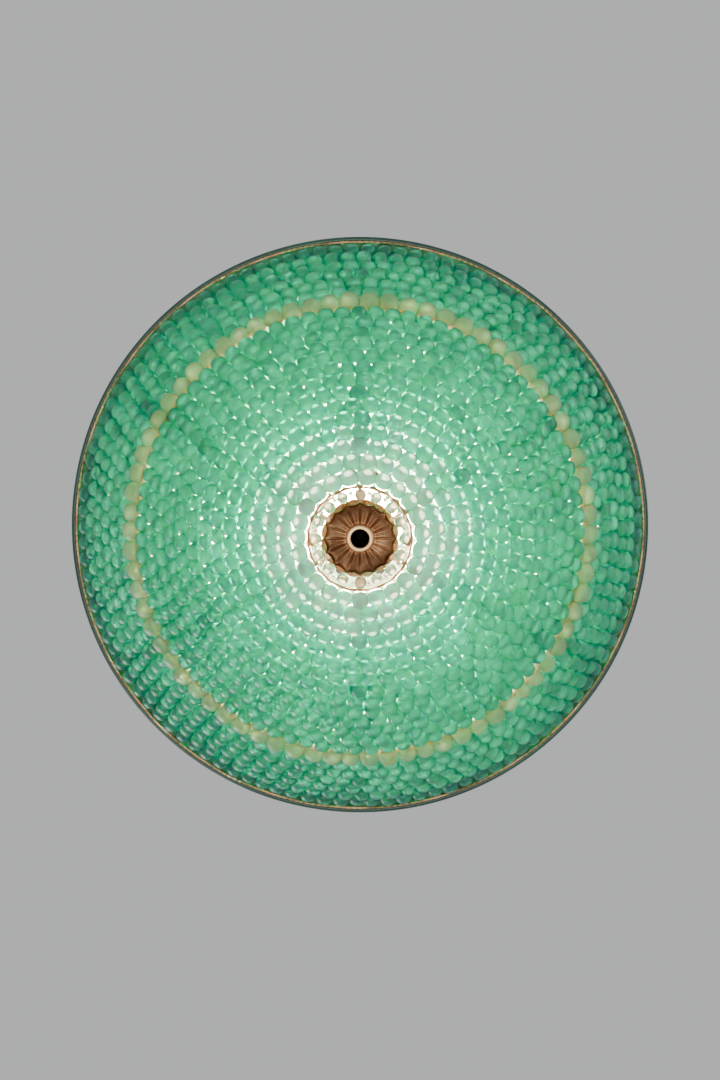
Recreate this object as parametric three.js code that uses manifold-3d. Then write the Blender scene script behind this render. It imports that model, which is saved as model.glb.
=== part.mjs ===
// Pendant ceiling light: a round bowl of strung glass beads hung under a spun cover on a rigid stem.
// Millimetres, +Z up. The origin is the centre of the bracket's upper face, where it meets the ceiling.
import * as THREE from "three";
import { mergeVertices } from "three/addons/utils/BufferGeometryUtils.js";
import Module from "manifold-3d";

const wasm = await Module();
wasm.setup();

// ---- Clearances -----------------------------------------------------------------------------------------
const SEAT_GAP = 0.3; // between two pieces that touch or are screwed together
const PIN_CLEARANCE = 0.3; // radial, round the swivel's pins
const PASS_CLEARANCE = 0.4; // radial, where a stud or the lead passes a hole

// ---- Ceiling bracket, canopy and swivel -----------------------------------------------------------------
const BRACKET_LENGTH = 112;
const BRACKET_WIDTH = 20;
const BRACKET_THICKNESS = 2.5;
const BRACKET_DROP = 20; // ceiling to the upper face of the lowered middle
const BRACKET_FOOT = 12; // length of each foot that lies on the ceiling
const BRACKET_SLANT = 8;
const SLOT_WIDTH = 6;
const SLOT_DEPTH = 9; // from the foot's open end
const PIPE_RADIUS = 4.85; // threaded pipe of the swivel
const PIPE_BORE = 3;
const PIPE_STAND = 0.6; // pipe's end above its nut
const NUT_RADIUS = 9;
const NUT_HEIGHT = 4.2;
const CANOPY_RADIUS = 60;
const CANOPY_DEPTH = 41;
const CANOPY_WALL = 1.2;
const CANOPY_STRAIGHT = 4; // upright edge at the ceiling
const CANOPY_HOLE = 17;
const CANOPY_LAND = 4; // level ring outside the collar
const COLLAR_RADIUS = 23;
const COLLAR_HEIGHT = 6;
const FLANGE_RISE = 3; // swivel's flange above the canopy's lower face
const FLANGE_CONE = 4; // height of the cone above the flange
const PIVOT_DROP = 8; // upper flange to the swivel's centre, and on to the lower yoke
const EAR_INNER = 7;
const EAR_THICKNESS = 2.5;
const EAR_HALF_WIDTH = 4;
const PIN_RADIUS = 2;
const CROSS_RADIUS = 6.5;
const CROSS_HEIGHT = 8;
const CROSS_BORE = 3.3;
const YOKE_BASE_HEIGHT = 6;
const EAR_REACH = 1; // how far an ear runs past its round end's centre, and into its base

// ---- Stem and lead --------------------------------------------------------------------------------------
const STEM_RADIUS = 5;
const STEM_BORE = 3.6;
const STEM_SOCKET = 4.2; // depth of the stem's end in the lower yoke
const LEAD_RADIUS = 1.5;
const LEAD_BEND = 6;
const TERMINAL_PLACE = 14; // stem's axis to the terminal block
const TERMINAL_LENGTH = 20;
const TERMINAL_WIDTH = 14;
const TERMINAL_HEIGHT = 13;
const WELL_RADIUS = 1.8; // over each terminal screw
const WELL_DEPTH = 4;

// ---- Bowl and cover -------------------------------------------------------------------------------------
const RIM_DROP = 430; // ceiling to the cover's lower edge
const RIM_RADIUS = 160; // outside of the cover
const COVER_RISE = 48;
const COVER_WALL = 1.5;
const COVER_BEVEL = 1.5; // corner between the skirt and the brim
const COVER_LAND = 1; // level ring outside the cover's nut
const SKIRT_HEIGHT = 8; // cover's upright edge above the rim
const HEM_DEPTH = 3; // rolled hem below the rim
const HEM_THICKNESS = 3;
const HEM_FOLD = 1; // upper corner of the hem, below the rim
const HEM_CLEARANCE = 1.2; // hem to the first course
const BRIM_WIDTH = 17; // flat ledge that the studs pass
const DOME_POWER = 2.2;
const VENT_COUNT = 8;
const VENT_RADIUS = 2.5;
const VENT_CIRCLE = 30;
const BEAD_DIAMETER = 9;
const BOWL_DEPTH = 109; // of the surface through the beads' centres, were it to reach the axis
const BOWL_POWER = 1.9;
const COURSE_COUNT = 21;
const ACCENT_COURSE = 6; // the clear course, counted from the rim
const COURSE_GAP = 0.4;
const RIB_GAP = 0.5; // beads to the ribs inside them
const FIRST_COURSE_DROP = 6; // rim to the first course's centre
const HOOP_WIRE = 2.5; // radius of the rim hoop's rod
const HOOP_RISE = 3.4;
const STUD_COUNT = 3;
const STUD_RADIUS = 2;
const STUD_HEIGHT = 17; // above the rim
const KNOB_RADIUS = 5.5;
const KNOB_HEIGHT = 6;
const RIB_COUNT = 6;
const RIB_WIRE = 1.2;

// ---- Bottom fitting -------------------------------------------------------------------------------------
const BOTTOM_HOOP_RADIUS = 26.2;
const BOTTOM_HOOP_WIRE = 0.8;
const HOOP_GAP = 0.5; // last course to the bottom hoop
const CLEAR_RING_RADIUS = 22.3;
const CLEAR_RING_RISE = 0.4; // above the bottom hoop
const CLEAR_BEAD_RADIUS = 2.8;
const PLATE_THICKNESS = 1.6;
const PLATE_RADIUS = 20.2; // to the crests of its scallops
const PLATE_SCALLOP = 0.9;
const SPOKE_WIDTH = 2.4;
const SPOKE_INSET = 2.4; // bottom hoop to the spokes' ends
const ROSETTE_RADIUS = 18.7;
const ROSETTE_DEPTH = 6;
const ROSETTE_WALL = 1.1;
const FLUTE_COUNT = 16; // one for each large bead round the rosette
const FLUTE_HEIGHT = 0.7;
const ROSETTE_SCALLOP = 1.2;
const FERRULE_RADIUS = 4.9;
const FERRULE_BORE = 4.1;
const FERRULE_CAP = 1.2; // thickness of the ferrule's closed upper end
const FERRULE_STAND = 1; // ferrule above its inner nut
const ROSETTE_LAND = 1; // flat of the rosette outside the ring nut
const ROSETTE_INNER_LAND = 0.8;
const ROSETTE_BREAKS = [[13, 1.6], [16.4, 3.6]]; // radius and drop where the cup steepens
const ROSETTE_INNER_BREAKS = [[12.5, 1.6], [15.4, 3.6]];
const RING_NUT_RADIUS = 7.25;
const RING_NUT_HEIGHT = 3.6;
const RING_NUT_BORE = 4.7; // inside the lip that hides the ferrule's end
const RING_NUT_LIP = 1.2;
const RING_NUT_BEVEL = 1;

// ---- Lampholder and bulb --------------------------------------------------------------------------------
const HOLDER_RADIUS = 20.5;
const HOLDER_WALL = 2;
const HOLDER_CAP_HEIGHT = 16;
const HOLDER_NECK = 6; // cap's top to the underside of its crown
const HOLDER_NECK_RIM = 3; // straight edge round the cap's crown
const CAP_SHOULDER_RADIUS = 15;
const CAP_SHOULDER_DROP = 6;
const CAP_SKIRT_DROP = 10;
const CAP_SKIRT_TAPER = 1.5;
const CAP_HOLLOW_RADIUS = 13;
const CAP_HOLLOW_DROP = 8.2;
const CAP_HOLLOW_SKIRT = 11.5;
const STEM_IN_HOLDER = 5;
const HOLDER_LENGTH = 41;
const INSULATOR_DROP = 2.5; // shell's top to the insulator
const INSULATOR_HEIGHT = 7;
const SCREW_SHELL_RADIUS = 14.4;
const SCREW_SHELL_WALL = 0.6;
const SCREW_SHELL_LENGTH = 25;
const CONTACT_WIDTH = 5;
const CONTACT_STRIP = 0.8; // thickness of the tongue
const CONTACT_FOOT = 1; // thickness of the foot
const CONTACT_START = -6;
const CONTACT_BEND = -3;
const CONTACT_FOOT_END = -2;
const CONTACT_NOSE = 2;
const CONTACT_END = 5;
const CONTACT_EASE = 0.2;
const BASE_RADIUS = 13.3;
const BASE_WALL = 0.8;
const BASE_LENGTH = 23;
const BASE_DROP = 6; // insulator to the base's shoulder
const BASE_CONE = 3; // shoulder's upper edge, in from the outside
const BASE_CONE_DROP = 2;
const BASE_SHOULDER_DROP = 5;
const BASE_HOLLOW_CONE = 4;
const BASE_HOLLOW_DROP = 3.4;
const BASE_HOLLOW_SHOULDER = 5.6;
const TIP_HEIGHT = 1.5; // contact on the end of the base
const TIP_RADIUS = 4.5;
const TIP_FOOT_RADIUS = 5.5;
const GLASS_WALL = 1;
const GLASS_RADIUS = 22.5;
const GLASS_NECK = 8; // length of the neck inside the base
const GLASS_STAND = 3; // base to the top of the ball
const FLARE_EDGE = 1.5;
const FLARE_LENGTH = 6;
const COLUMN_NECK_RADIUS = 3;
const COLUMN_WAIST_RADIUS = 2.5;
const COLUMN_RADIUS = 4;
const COLUMN_ABOVE = 8; // over the ball's centre
const COLUMN_BELOW = 10;

// ---- Facets ---------------------------------------------------------------------------------------------
const COURSE_FACETS = 24;
const COVER_FACETS = 36;
const ROUND_FACETS = 24;
const SMALL_FACETS = 12;

// ---- Places worked out from the sizes above -------------------------------------------------------------
const RIM_Z = -RIM_DROP;
const middleTop = -BRACKET_DROP;
const middleBottom = middleTop - BRACKET_THICKNESS;
const canopyBottom = -CANOPY_DEPTH;
const collarTop = canopyBottom - SEAT_GAP;
const flangeTop = canopyBottom + FLANGE_RISE;
const flangeBottom = collarTop - COLLAR_HEIGHT - SEAT_GAP;
const pivotZ = flangeBottom - PIVOT_DROP;
const yokeBaseTop = pivotZ - PIVOT_DROP;
const yokeBaseBottom = yokeBaseTop - YOKE_BASE_HEIGHT;
const earOuter = EAR_INNER + EAR_THICKNESS;
const stemTop = yokeBaseBottom + STEM_SOCKET;
const coverTop = RIM_Z + COVER_RISE;
const holderTop = coverTop - COVER_WALL - SEAT_GAP;
const stemBottom = holderTop - STEM_IN_HOLDER;
const shellTop = holderTop - HOLDER_CAP_HEIGHT - SEAT_GAP;
const shellBottom = shellTop - HOLDER_LENGTH;
const insulatorTop = shellTop - INSULATOR_DROP;
const insulatorBottom = insulatorTop - INSULATOR_HEIGHT;
const baseTop = insulatorBottom - BASE_DROP;
const baseBottom = baseTop - BASE_LENGTH;
const hoopZ = RIM_Z + HOOP_RISE;
const firstCourseRadius = RIM_RADIUS - HEM_THICKNESS - HEM_CLEARANCE - BEAD_DIAMETER / 2;
const hoopRadius = RIM_RADIUS - BRIM_WIDTH / 2 - COVER_WALL;
const ribOffset = BEAD_DIAMETER / 2 + RIB_GAP + RIB_WIRE;
const studAngles = Array.from({ length: STUD_COUNT }, (_, i) => Math.PI / 2 + (2 * Math.PI * i) / STUD_COUNT);

// ---- Materials ------------------------------------------------------------------------------------------
const finish = (color, roughness, metalness) => () =>
  new THREE.MeshStandardMaterial({ color, roughness, metalness });
const enamel = finish(0x0b5f48, 0.35, 0.1);
const whiteEnamel = finish(0xe9e6dc, 0.4, 0.0);
const bronze = finish(0x8a5a36, 0.38, 0.9);
const brass = finish(0xd8a860, 0.25, 1.0);
const copper = finish(0xa5683c, 0.35, 1.0);
const steel = finish(0xb4b6b8, 0.4, 1.0);
const porcelain = finish(0xece7dc, 0.3, 0.0);
const blackPlastic = finish(0x1c1b1a, 0.55, 0.0);
const leadSheath = finish(0xd9d4c8, 0.6, 0.0);
const greenGlass = finish(0x18a878, 0.12, 0.0);
const clearGlass = finish(0xb9d3b4, 0.1, 0.0);
const bulbGlass = finish(0xfff6e4, 0.3, 0.0);

// ---- Helpers --------------------------------------------------------------------------------------------
const point = (x, y) => new THREE.Vector2(x, y);

// Turns an outline of [radius, height] points about Z. An outline off the axis is closed on itself.
function turned(outline, facets = ROUND_FACETS, startAngle = 0) {
  const points = outline.map(([r, z]) => point(r, z));
  const onAxis = outline[0][0] === 0 && outline[outline.length - 1][0] === 0;
  if (THREE.ShapeUtils.area(points) < 0) points.reverse();
  if (!onAxis) points.push(points[0].clone());
  const geometry = new THREE.LatheGeometry(points, facets, startAngle);
  return geometry.rotateX(Math.PI / 2);
}

// A tube along Z between two heights.
const sleeve = (inner, outer, low, high, facets = ROUND_FACETS) =>
  turned([[inner, low], [outer, low], [outer, high], [inner, high]], facets);

// A solid rod along Z between two heights.
const rod = (radius, low, high, facets = SMALL_FACETS) =>
  turned([[0, low], [radius, low], [radius, high], [0, high]], facets);

function box(sizeX, sizeY, sizeZ, x, y, z) {
  return new THREE.BoxGeometry(sizeX, sizeY, sizeZ).translate(x, y, z);
}

// A round wire along a curve, with flat ends.
function wire(curve, radius, steps, sides) {
  const section = new THREE.Shape();
  for (let i = 0; i < sides; i++) {
    const angle = (2 * Math.PI * i) / sides;
    const x = radius * Math.cos(angle);
    const y = radius * Math.sin(angle);
    if (i === 0) section.moveTo(x, y);
    else section.lineTo(x, y);
  }
  return new THREE.ExtrudeGeometry(section, { steps, extrudePath: curve, curveSegments: 1 });
}

function solid(geometry) {
  const bare = geometry.clone();
  bare.deleteAttribute("normal");
  bare.deleteAttribute("uv");
  const merged = mergeVertices(bare, 1e-4);
  const mesh = new wasm.Mesh({
    numProp: 3,
    vertProperties: merged.attributes.position.array,
    triVerts: new Uint32Array(merged.index.array),
  });
  return new wasm.Manifold(mesh);
}

function geometryOf(manifold) {
  const { vertProperties, triVerts } = manifold.getMesh();
  const geometry = new THREE.BufferGeometry();
  geometry.setAttribute("position", new THREE.BufferAttribute(vertProperties, 3));
  geometry.setIndex(new THREE.BufferAttribute(triVerts, 1));
  geometry.computeVertexNormals();
  return geometry;
}

const joined = (first, ...others) =>
  geometryOf(others.reduce((all, next) => all.add(solid(next)), solid(first)));
const cut = (body, ...tools) =>
  geometryOf(tools.reduce((all, tool) => all.subtract(solid(tool)), solid(body)));

const hexNut = (bore, low, high) =>
  cut(rod(NUT_RADIUS, low, high, 6), rod(bore, low - 1, high + 1, ROUND_FACETS));

const lamp = new THREE.Group();

function add(name, geometry, material) {
  const mesh = new THREE.Mesh(geometry, material());
  mesh.name = name;
  lamp.add(mesh);
  return mesh;
}

// ---- Ceiling bracket and wiring -------------------------------------------------------------------------
// A strip of the bracket between two points of its side view, whose ends are cut upright.
function bracketRun(x1, z1, x2, z2) {
  const t = BRACKET_THICKNESS;
  const outline = new THREE.Shape([point(x1, z1), point(x1, z1 - t), point(x2, z2 - t), point(x2, z2)]);
  const run = new THREE.ExtrudeGeometry(outline, { depth: BRACKET_WIDTH, bevelEnabled: false });
  return run.translate(0, 0, -BRACKET_WIDTH / 2).rotateX(Math.PI / 2);
}

function bracketGeometry() {
  const half = BRACKET_LENGTH / 2;
  const bend = half - BRACKET_FOOT;
  const middle = bend - BRACKET_SLANT;
  const sides = [-1, 1].flatMap((side) => [
    bracketRun(side * half, 0, side * bend, 0),
    bracketRun(side * bend, 0, side * middle, middleTop),
  ]);
  const slotX = half - SLOT_DEPTH / 2 + 1;
  const slots = [-slotX, slotX].map((x) => box(SLOT_DEPTH + 2, SLOT_WIDTH, 4 * BRACKET_THICKNESS, x, 0, 0));
  const pipeHole = rod(PIPE_RADIUS + SEAT_GAP, middleBottom - 1, middleTop + 1, ROUND_FACETS);
  return cut(joined(bracketRun(-middle, middleTop, middle, middleTop), ...sides), pipeHole, ...slots);
}

const pipeTop = middleTop + SEAT_GAP + NUT_HEIGHT + PIPE_STAND;
add("ceiling_bracket", bracketGeometry(), steel);
const bracketNutBottom = middleTop + SEAT_GAP;
const bracketNut = hexNut(PIPE_RADIUS + SEAT_GAP, bracketNutBottom, bracketNutBottom + NUT_HEIGHT);
add("bracket_nut", bracketNut, brass);

const terminalBottom = middleTop + SEAT_GAP;
const leadEntryZ = pipeTop + LEAD_BEND + PASS_CLEARANCE;

function terminalGeometry() {
  const centreX = TERMINAL_PLACE + TERMINAL_LENGTH / 2;
  const centreZ = terminalBottom + TERMINAL_HEIGHT / 2;
  const block = box(TERMINAL_LENGTH, TERMINAL_WIDTH, TERMINAL_HEIGHT, centreX, 0, centreZ);
  const wells = [-1, 1].map((side) => {
    const top = terminalBottom + TERMINAL_HEIGHT;
    return rod(WELL_RADIUS, top - WELL_DEPTH, top + 1).translate(centreX, (side * TERMINAL_WIDTH) / 4, 0);
  });
  return cut(block, ...wells);
}
add("terminal_block", terminalGeometry(), porcelain);

// The lead rises through the pipe, bends over and enters the terminal block.
function upperLeadPath() {
  const path = new THREE.CurvePath();
  const start = new THREE.Vector3(0, 0, pivotZ + SEAT_GAP);
  const bendStart = new THREE.Vector3(0, 0, leadEntryZ - LEAD_BEND);
  const corner = new THREE.Vector3(0, 0, leadEntryZ);
  const bendEnd = new THREE.Vector3(LEAD_BEND, 0, leadEntryZ);
  const end = new THREE.Vector3(TERMINAL_PLACE - SEAT_GAP, 0, leadEntryZ);
  path.add(new THREE.LineCurve3(start, bendStart));
  path.add(new THREE.QuadraticBezierCurve3(bendStart, corner, bendEnd));
  path.add(new THREE.LineCurve3(bendEnd, end));
  return path;
}
add("lead_upper", wire(upperLeadPath(), LEAD_RADIUS, 24, 6), leadSheath);

// ---- Swivel ---------------------------------------------------------------------------------------------
const flangeRadius = CANOPY_HOLE - PASS_CLEARANCE;

// Two upright ears on the line through the pivot, with a hole for the cross's pin.
function ears(low, high, turn) {
  return [-1, 1].map((side) => {
    const x = side * (EAR_INNER + EAR_THICKNESS / 2);
    const ear = box(EAR_THICKNESS, 2 * EAR_HALF_WIDTH, high - low, x, 0, (low + high) / 2);
    return ear.rotateZ(turn);
  });
}

function pinBetweenEars(radius, halfLength, turn) {
  const pin = rod(radius, -halfLength, halfLength).rotateY(Math.PI / 2).rotateZ(turn);
  return pin.translate(0, 0, pivotZ);
}

function upperYokeGeometry() {
  const body = turned([
    [PIPE_BORE, flangeBottom],
    [flangeRadius, flangeBottom],
    [flangeRadius, flangeTop],
    [NUT_RADIUS, flangeTop + FLANGE_CONE],
    [NUT_RADIUS, middleBottom - SEAT_GAP],
    [PIPE_RADIUS, middleBottom - SEAT_GAP],
    [PIPE_RADIUS, pipeTop],
    [PIPE_BORE, pipeTop],
  ]);
  const upright = ears(pivotZ - EAR_HALF_WIDTH - EAR_REACH, flangeBottom + EAR_REACH, 0);
  return cut(joined(body, ...upright), pinBetweenEars(PIN_RADIUS + PIN_CLEARANCE, 2 * earOuter, 0));
}
add("swivel_upper_yoke", upperYokeGeometry(), brass);

function crossGeometry() {
  const block = rod(CROSS_RADIUS, pivotZ - CROSS_HEIGHT / 2, pivotZ + CROSS_HEIGHT / 2, ROUND_FACETS);
  const pins = [0, Math.PI / 2].map((turn) => pinBetweenEars(PIN_RADIUS, earOuter, turn));
  return cut(joined(block, ...pins), rod(CROSS_BORE, pivotZ - CROSS_HEIGHT, pivotZ + CROSS_HEIGHT));
}
add("swivel_cross", crossGeometry(), steel);

function lowerYokeGeometry() {
  const socketTop = stemTop + SEAT_GAP;
  const base = turned([
    [CROSS_BORE, yokeBaseTop],
    [earOuter, yokeBaseTop],
    [earOuter, yokeBaseBottom],
    [STEM_RADIUS + SEAT_GAP, yokeBaseBottom],
    [STEM_RADIUS + SEAT_GAP, socketTop],
    [CROSS_BORE, socketTop],
  ]);
  const upright = ears(yokeBaseTop - EAR_REACH, pivotZ + EAR_HALF_WIDTH + EAR_REACH, Math.PI / 2);
  const hole = pinBetweenEars(PIN_RADIUS + PIN_CLEARANCE, 2 * earOuter, Math.PI / 2);
  return cut(joined(base, ...upright), hole);
}
add("swivel_lower_yoke", lowerYokeGeometry(), brass);

// ---- Canopy ---------------------------------------------------------------------------------------------
// The spun canopy is a bell: nearly upright at the ceiling, flat round the hole for the swivel.
function canopyGeometry() {
  const steps = 5;
  const flat = COLLAR_RADIUS + CANOPY_LAND;
  const curve = (radius, depth) => {
    const points = [];
    for (let i = 0; i <= steps; i++) {
      const angle = (Math.PI / 2) * (i / steps);
      const drop = CANOPY_STRAIGHT + (depth - CANOPY_STRAIGHT) * Math.sin(angle);
      points.push([flat + (radius - flat) * Math.cos(angle), -drop]);
    }
    return points;
  };
  const outer = curve(CANOPY_RADIUS, CANOPY_DEPTH);
  const inner = curve(CANOPY_RADIUS - CANOPY_WALL, CANOPY_DEPTH - CANOPY_WALL).reverse();
  return turned(
    [
      [CANOPY_RADIUS, -SEAT_GAP],
      ...outer,
      [CANOPY_HOLE, -CANOPY_DEPTH],
      [CANOPY_HOLE, -CANOPY_DEPTH + CANOPY_WALL],
      ...inner,
      [CANOPY_RADIUS - CANOPY_WALL, -SEAT_GAP],
    ],
    ROUND_FACETS,
  );
}
add("canopy", canopyGeometry(), bronze);
const collarBottom = collarTop - COLLAR_HEIGHT;
add("canopy_collar", sleeve(CANOPY_HOLE, COLLAR_RADIUS, collarBottom, collarTop), brass);

// ---- Stem -----------------------------------------------------------------------------------------------
add("stem_tube", sleeve(STEM_BORE, STEM_RADIUS, stemBottom, stemTop, 16), bronze);
const lowerLeadLine = new THREE.LineCurve3(
  new THREE.Vector3(0, 0, pivotZ - SEAT_GAP),
  new THREE.Vector3(0, 0, insulatorTop + SEAT_GAP),
);
add("lead_lower", wire(lowerLeadLine, LEAD_RADIUS, 1, 8), leadSheath);

// ---- Cover ----------------------------------------------------------------------------------------------
const brimInner = RIM_RADIUS - BRIM_WIDTH;

function domeHeight(radius) {
  const share = Math.pow(radius / brimInner, DOME_POWER);
  return SKIRT_HEIGHT + (COVER_RISE - SKIRT_HEIGHT) * (1 - share);
}

function coverGeometry() {
  const steps = 7;
  const hole = STEM_RADIUS + SEAT_GAP;
  const flat = NUT_RADIUS + COVER_LAND;
  const dome = (drop) => {
    const points = [];
    for (let i = 0; i <= steps; i++) {
      const radius = brimInner + (flat - brimInner) * (i / steps);
      const rise = i === steps ? COVER_RISE : domeHeight(radius);
      points.push([radius, RIM_Z + rise - drop]);
    }
    return points;
  };
  const wall = RIM_RADIUS - COVER_WALL;
  const hem = RIM_RADIUS - HEM_THICKNESS;
  const shell = turned(
    [
      [RIM_RADIUS, RIM_Z - HEM_DEPTH],
      [RIM_RADIUS, RIM_Z + SKIRT_HEIGHT - COVER_BEVEL],
      [RIM_RADIUS - COVER_BEVEL, RIM_Z + SKIRT_HEIGHT],
      ...dome(0),
      [hole, coverTop],
      [hole, coverTop - COVER_WALL],
      ...dome(COVER_WALL).reverse(),
      [wall, RIM_Z + SKIRT_HEIGHT - COVER_WALL],
      [wall, RIM_Z],
      [hem, RIM_Z - HEM_FOLD],
      [hem, RIM_Z - HEM_DEPTH],
    ],
    COVER_FACETS,
  );
  const vents = [];
  for (let i = 0; i < VENT_COUNT; i++) {
    const angle = (2 * Math.PI * (i + 0.5)) / VENT_COUNT;
    const x = VENT_CIRCLE * Math.cos(angle);
    const y = VENT_CIRCLE * Math.sin(angle);
    vents.push(rod(VENT_RADIUS, RIM_Z + SKIRT_HEIGHT, coverTop + 1, 8).translate(x, y, 0));
  }
  const studHoles = studAngles.map((angle) => {
    const hole = rod(STUD_RADIUS + PASS_CLEARANCE, RIM_Z, RIM_Z + 2 * SKIRT_HEIGHT, SMALL_FACETS);
    return hole.translate(hoopRadius * Math.cos(angle), hoopRadius * Math.sin(angle), 0);
  });
  return cut(shell, ...vents, ...studHoles);
}

add("top_cover", coverGeometry(), enamel);
const coverNutBottom = coverTop + SEAT_GAP;
add("cover_nut", hexNut(STEM_RADIUS + SEAT_GAP, coverNutBottom, coverNutBottom + KNOB_HEIGHT), brass);

const knobBottom = RIM_Z + SKIRT_HEIGHT + SEAT_GAP;
studAngles.forEach((angle, i) => {
  const knob = sleeve(STUD_RADIUS + SEAT_GAP, KNOB_RADIUS, knobBottom, knobBottom + KNOB_HEIGHT, SMALL_FACETS);
  knob.translate(hoopRadius * Math.cos(angle), hoopRadius * Math.sin(angle), 0);
  add("knurled_nut_" + (i + 1), knob, brass);
});

// ---- Lampholder -----------------------------------------------------------------------------------------
add(
  "lampholder_cap",
  turned([
    [STEM_RADIUS + SEAT_GAP, holderTop],
    [NUT_RADIUS, holderTop],
    [NUT_RADIUS, holderTop - HOLDER_NECK_RIM],
    [CAP_SHOULDER_RADIUS, holderTop - CAP_SHOULDER_DROP],
    [HOLDER_RADIUS - CAP_SKIRT_TAPER, holderTop - CAP_SKIRT_DROP],
    [HOLDER_RADIUS, holderTop - HOLDER_CAP_HEIGHT],
    [HOLDER_RADIUS - HOLDER_WALL, holderTop - HOLDER_CAP_HEIGHT],
    [HOLDER_RADIUS - HOLDER_WALL - CAP_SKIRT_TAPER, holderTop - CAP_HOLLOW_SKIRT],
    [CAP_HOLLOW_RADIUS, holderTop - CAP_HOLLOW_DROP],
    [STEM_RADIUS + SEAT_GAP, holderTop - HOLDER_NECK],
  ]),
  brass,
);
const holderBore = HOLDER_RADIUS - HOLDER_WALL;
add("lampholder_shell", sleeve(holderBore, HOLDER_RADIUS, shellBottom, shellTop, ROUND_FACETS), brass);
add("lampholder_insulator", rod(holderBore - SEAT_GAP, insulatorBottom, insulatorTop, ROUND_FACETS), porcelain);
const sleeveTop = insulatorBottom - SEAT_GAP;
add(
  "lampholder_screw_shell",
  sleeve(SCREW_SHELL_RADIUS - SCREW_SHELL_WALL, SCREW_SHELL_RADIUS, sleeveTop - SCREW_SHELL_LENGTH, sleeveTop),
  copper,
);

// A bent spring tongue that presses on the bulb's tip.
function contactGeometry() {
  const top = insulatorBottom - SEAT_GAP;
  const tip = baseTop + TIP_HEIGHT + SEAT_GAP;
  const outline = new THREE.Shape([
    point(CONTACT_START, top),
    point(CONTACT_START, top - CONTACT_FOOT),
    point(CONTACT_NOSE, tip),
    point(CONTACT_END, tip),
    point(CONTACT_END, tip + CONTACT_STRIP),
    point(CONTACT_NOSE + CONTACT_EASE, tip + CONTACT_STRIP),
    point(CONTACT_BEND, top - CONTACT_STRIP + CONTACT_EASE),
    point(CONTACT_FOOT_END, top),
  ]);
  const strip = new THREE.ExtrudeGeometry(outline, { depth: CONTACT_WIDTH, bevelEnabled: false });
  return strip.translate(0, 0, -CONTACT_WIDTH / 2).rotateX(Math.PI / 2);
}
add("lampholder_contact", contactGeometry(), brass);

// ---- Bulb -----------------------------------------------------------------------------------------------
add(
  "bulb_base",
  turned([
    [0, baseTop + TIP_HEIGHT],
    [TIP_RADIUS, baseTop + TIP_HEIGHT],
    [TIP_FOOT_RADIUS, baseTop],
    [BASE_RADIUS - BASE_CONE, baseTop - BASE_CONE_DROP],
    [BASE_RADIUS, baseTop - BASE_SHOULDER_DROP],
    [BASE_RADIUS, baseBottom],
    [BASE_RADIUS - BASE_WALL, baseBottom],
    [BASE_RADIUS - BASE_WALL, baseTop - BASE_HOLLOW_SHOULDER],
    [BASE_RADIUS - BASE_HOLLOW_CONE, baseTop - BASE_HOLLOW_DROP],
    [0, baseTop - BASE_HOLLOW_DROP],
  ]),
  steel,
);

// The glass is a ball with a neck that opens into the base.
const neckRadius = BASE_RADIUS - BASE_WALL - SEAT_GAP;
const neckTop = baseBottom + GLASS_NECK;
const ballZ = baseBottom - GLASS_STAND - GLASS_RADIUS;

function glassGeometry() {
  const steps = 7;
  const ball = (radius, neck) => {
    const start = Math.asin(neck / radius);
    const points = [];
    for (let i = 0; i <= steps; i++) {
      const angle = start + (Math.PI - start) * (i / steps);
      const across = i === steps ? 0 : radius * Math.sin(angle);
      points.push([across, ballZ + radius * Math.cos(angle)]);
    }
    return points;
  };
  const outer = ball(GLASS_RADIUS, neckRadius);
  const inner = ball(GLASS_RADIUS - GLASS_WALL, neckRadius - GLASS_WALL).reverse();
  const neck = [[neckRadius, neckTop], [neckRadius - GLASS_WALL, neckTop]];
  return turned([...outer.reverse(), ...neck, ...inner.reverse()]);
}
add("bulb_glass", glassGeometry(), bulbGlass);

// Inside the glass, a stem flares from the neck and carries the light column.
add(
  "bulb_light_column",
  turned(
    [
      [0, neckTop],
      [neckRadius - GLASS_WALL - SEAT_GAP, neckTop],
      [neckRadius - GLASS_WALL - SEAT_GAP, neckTop - FLARE_EDGE],
      [COLUMN_NECK_RADIUS, neckTop - FLARE_LENGTH],
      [COLUMN_WAIST_RADIUS, ballZ + COLUMN_ABOVE],
      [COLUMN_RADIUS, ballZ + COLUMN_ABOVE],
      [COLUMN_RADIUS, ballZ - COLUMN_BELOW],
      [0, ballZ - COLUMN_BELOW],
    ],
    SMALL_FACETS,
  ),
  bulbGlass,
);

// ---- Bowl: the surface through the beads' centres ---------------------------------------------------------
function bowlPoint(radius, offset = 0) {
  const share = radius / firstCourseRadius;
  const z = RIM_Z - FIRST_COURSE_DROP - BOWL_DEPTH * (1 - Math.pow(share, BOWL_POWER));
  const slope = Math.atan(((BOWL_DEPTH * BOWL_POWER) / firstCourseRadius) * Math.pow(share, BOWL_POWER - 1));
  return { r: radius - offset * Math.sin(slope), z: z + offset * Math.cos(slope), slope };
}

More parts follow.
